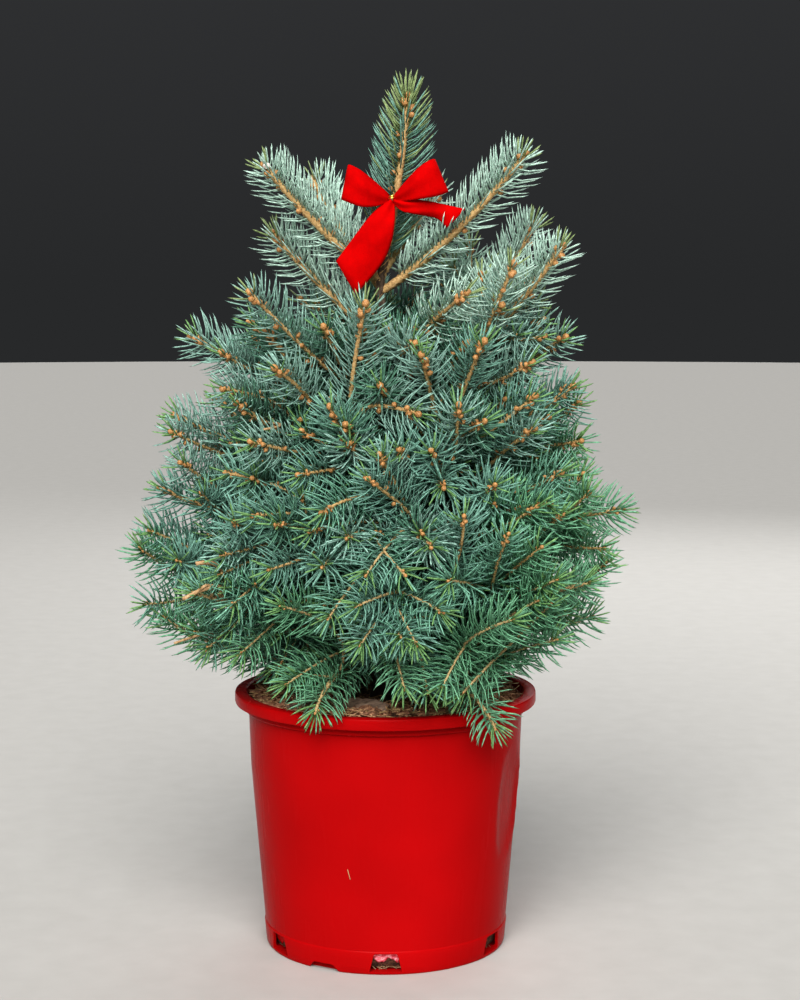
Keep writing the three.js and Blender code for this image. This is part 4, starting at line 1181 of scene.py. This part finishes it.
for stem in limbs + twigs + outer + [leader]:
    if stem.kind == "deep" or (stem.kind in ("inner", "finer") and chance(stem.number, 3, 3) < 0.6):
        continue
    strong = clamped((stem.at(1.0)[2] - 0.33) / 0.2)
    big = mixed(SMALL_BUD, BIG_BUD, strong) * (1 if stem.length > 60 * MM else 0.85) * MM
    heading, sideways, upward = stem.frame(1.0)
    bud_at(stem.at(1.0) + heading * big * 0.35, heading, big, dice)
    near = 4 if strong > 0.3 and stem.length > 60 * MM else 1
    along = [3.0 + 2.2 * step for step in range(near)]
    if strong > 0.5 and stem.kind in ("limb", "outer", "leader"):
        lower = 5 if stem.length > 110 * MM else 3
        along += [18 + 17 * step + dice.uniform(-5, 5) for step in range(lower)]
    for back in along:
        angle = dice.uniform(0, math.tau)
        out = sideways * math.cos(angle) + upward * math.sin(angle)
        share = 1 - back * MM / stem.length
        size = big * (0.85 if back < 12 else 0.8)
        aside = stem.tip_radius * 1.5 + (0 if back < 12 else 0.3 * size)
        bud_at(stem.at(share) + out * aside, unit(out + heading * 0.8), size, dice)
bud_scales = grained("bud_scales", 900, [(0.35, (0.3, 0.13, 0.042)), (0.65, (0.7, 0.38, 0.15))],
                     bump=(0.5, 0.0006), Roughness=0.55)
show("buds", joined("buds", buds), bud_scales, "bough_bark", *mass_nodes)

# Resin bead: a drop of resin has dried white on a bud of the top whorl, on the left. It is one
# small lumpy ball.
BEAD_PLACE = Vector((0.5, -4.2, 2.0)) * MM
BEAD_SIZE = (3.6, 2.4, 2.6)
bead_shape = bmesh.new()
bmesh.ops.create_uvsphere(bead_shape, u_segments=20, v_segments=12, radius=1)
top_left = limbs[-1]
for vert in bead_shape.verts:
    swell = 1 + 0.25 * noise.noise(vert.co * 1.6)
    size = Vector((vert.co.x * BEAD_SIZE[0], vert.co.y * BEAD_SIZE[1], vert.co.z * BEAD_SIZE[2]))
    vert.co = Vector(top_left.at(0.99)) + BEAD_PLACE + size * swell * MM
resin = grained("resin", 500, [(0.35, (0.62, 0.5, 0.44)), (0.6, (0.86, 0.8, 0.76))],
                bump=(0.5, 0.0008), Roughness=0.4)
show("resin_bead", finished(bead_shape, "resin_bead", 80), resin, "bough_bark")

# Dead twigs: a few bare ones stick out low on the left, dry and pale. Each row is a tip, a base
# and a radius, in millimetres.
DEAD_TWIGS = [(-164, -124, 372, -138, -112, 371, 2.3), (-175, -130, 342, -140, -118, 357, 2.1),
              (-166, -130, 345, -151, -124, 358, 1.5), (-189, -72, 293, -148, -56, 304, 1.3),
              (-106, -122, 488, -84, -104, 491, 1.3)]
dead = []
for index, row in enumerate(DEAD_TWIGS):
    stem = joined_to_limb(np.array(row[:3]) * MM, np.array(row[3:6]) * MM, "dead", 990 + index, 0.35)
    dead.append(laid_along(stem, 0, 1, row[6] * 1.25 * MM, row[6] * 0.8 * MM, 8, 0.14, index * 3.1))
dead_wood = bark_finish("dead_wood", (0.2, 0.11, 0.055), (0.5, 0.31, 0.16), (0.72, 0.52, 0.32), 260,
                        (1, 1, 1), 0.6)
show("dead_twigs", joined("dead_twigs", dead), dead_wood, "bough_bark")

# Floor and light: a plain pale floor under soft studio light. A wide sun lights the front
# evenly, two softboxes shape the pot, and a third lights the back.
floor_shape = bmesh.new()
bmesh.ops.create_circle(floor_shape, cap_ends=True, segments=96, radius=14)
floor = in_scene("floor", finished(floor_shape, "floor"))
pale_floor = grained("pale_floor", 30, [(0.2, (0.47, 0.46, 0.44)), (0.8, (0.51, 0.5, 0.48))],
                     Roughness=0.85)
floor.data.materials.append(pale_floor)

world = bpy.data.worlds.new("studio")
world.use_nodes = True
tree, backdrop = world.node_tree, world.node_tree.nodes["Background"]
place = tree.nodes.new("ShaderNodeTexCoord")
height = tree.nodes.new("ShaderNodeSeparateXYZ")
tree.links.new(place.outputs["Generated"], height.inputs["Vector"])
tree.links.new(ramp(tree, height.outputs["Z"], [(0.0, (0.13, 0.135, 0.14)), (0.2, (0.18, 0.185, 0.195)),
                                                (0.6, (0.66, 0.69, 0.73)), (1.0, (0.86, 0.9, 0.95))]),
               backdrop.inputs["Color"])
backdrop.inputs["Strength"].default_value = 0.22
bpy.context.scene.world = world


def softbox(name, place, size, power, colour=(1, 1, 1)):
    """A rectangular lamp aimed at the middle of the plant."""
    data = bpy.data.lights.new(name, "AREA")
    data.shape = "RECTANGLE"
    data.size, data.size_y = size
    data.energy = power
    data.color = colour
    light = in_scene(name, data)
    light.location = place
    light.rotation_euler = (Vector((0, 0, 0.4)) - Vector(place)).to_track_quat("-Z", "Y").to_euler()


softbox("key_light", (-0.7, -2.7, 2.0), size=(0.8, 0.8), power=19, colour=(1, 0.98, 0.95))
softbox("rim_light", (2.2, -1.1, 1.3), size=(0.12, 1.2), power=3)
softbox("back_fill", (0.9, 2.6, 1.9), size=(2.0, 2.0), power=26)
sun_data = bpy.data.lights.new("soft_sun", "SUN")
sun_data.energy, sun_data.angle, sun_data.color = 3.65, math.radians(48), (1, 0.985, 0.96)
sun = in_scene("soft_sun", sun_data)
sun.rotation_euler = Vector((0.06, 1, -0.85)).to_track_quat("-Z", "Y").to_euler()
bpy.context.scene.view_settings.view_transform = "Standard"
bpy.context.scene.view_settings.look = "Medium High Contrast"
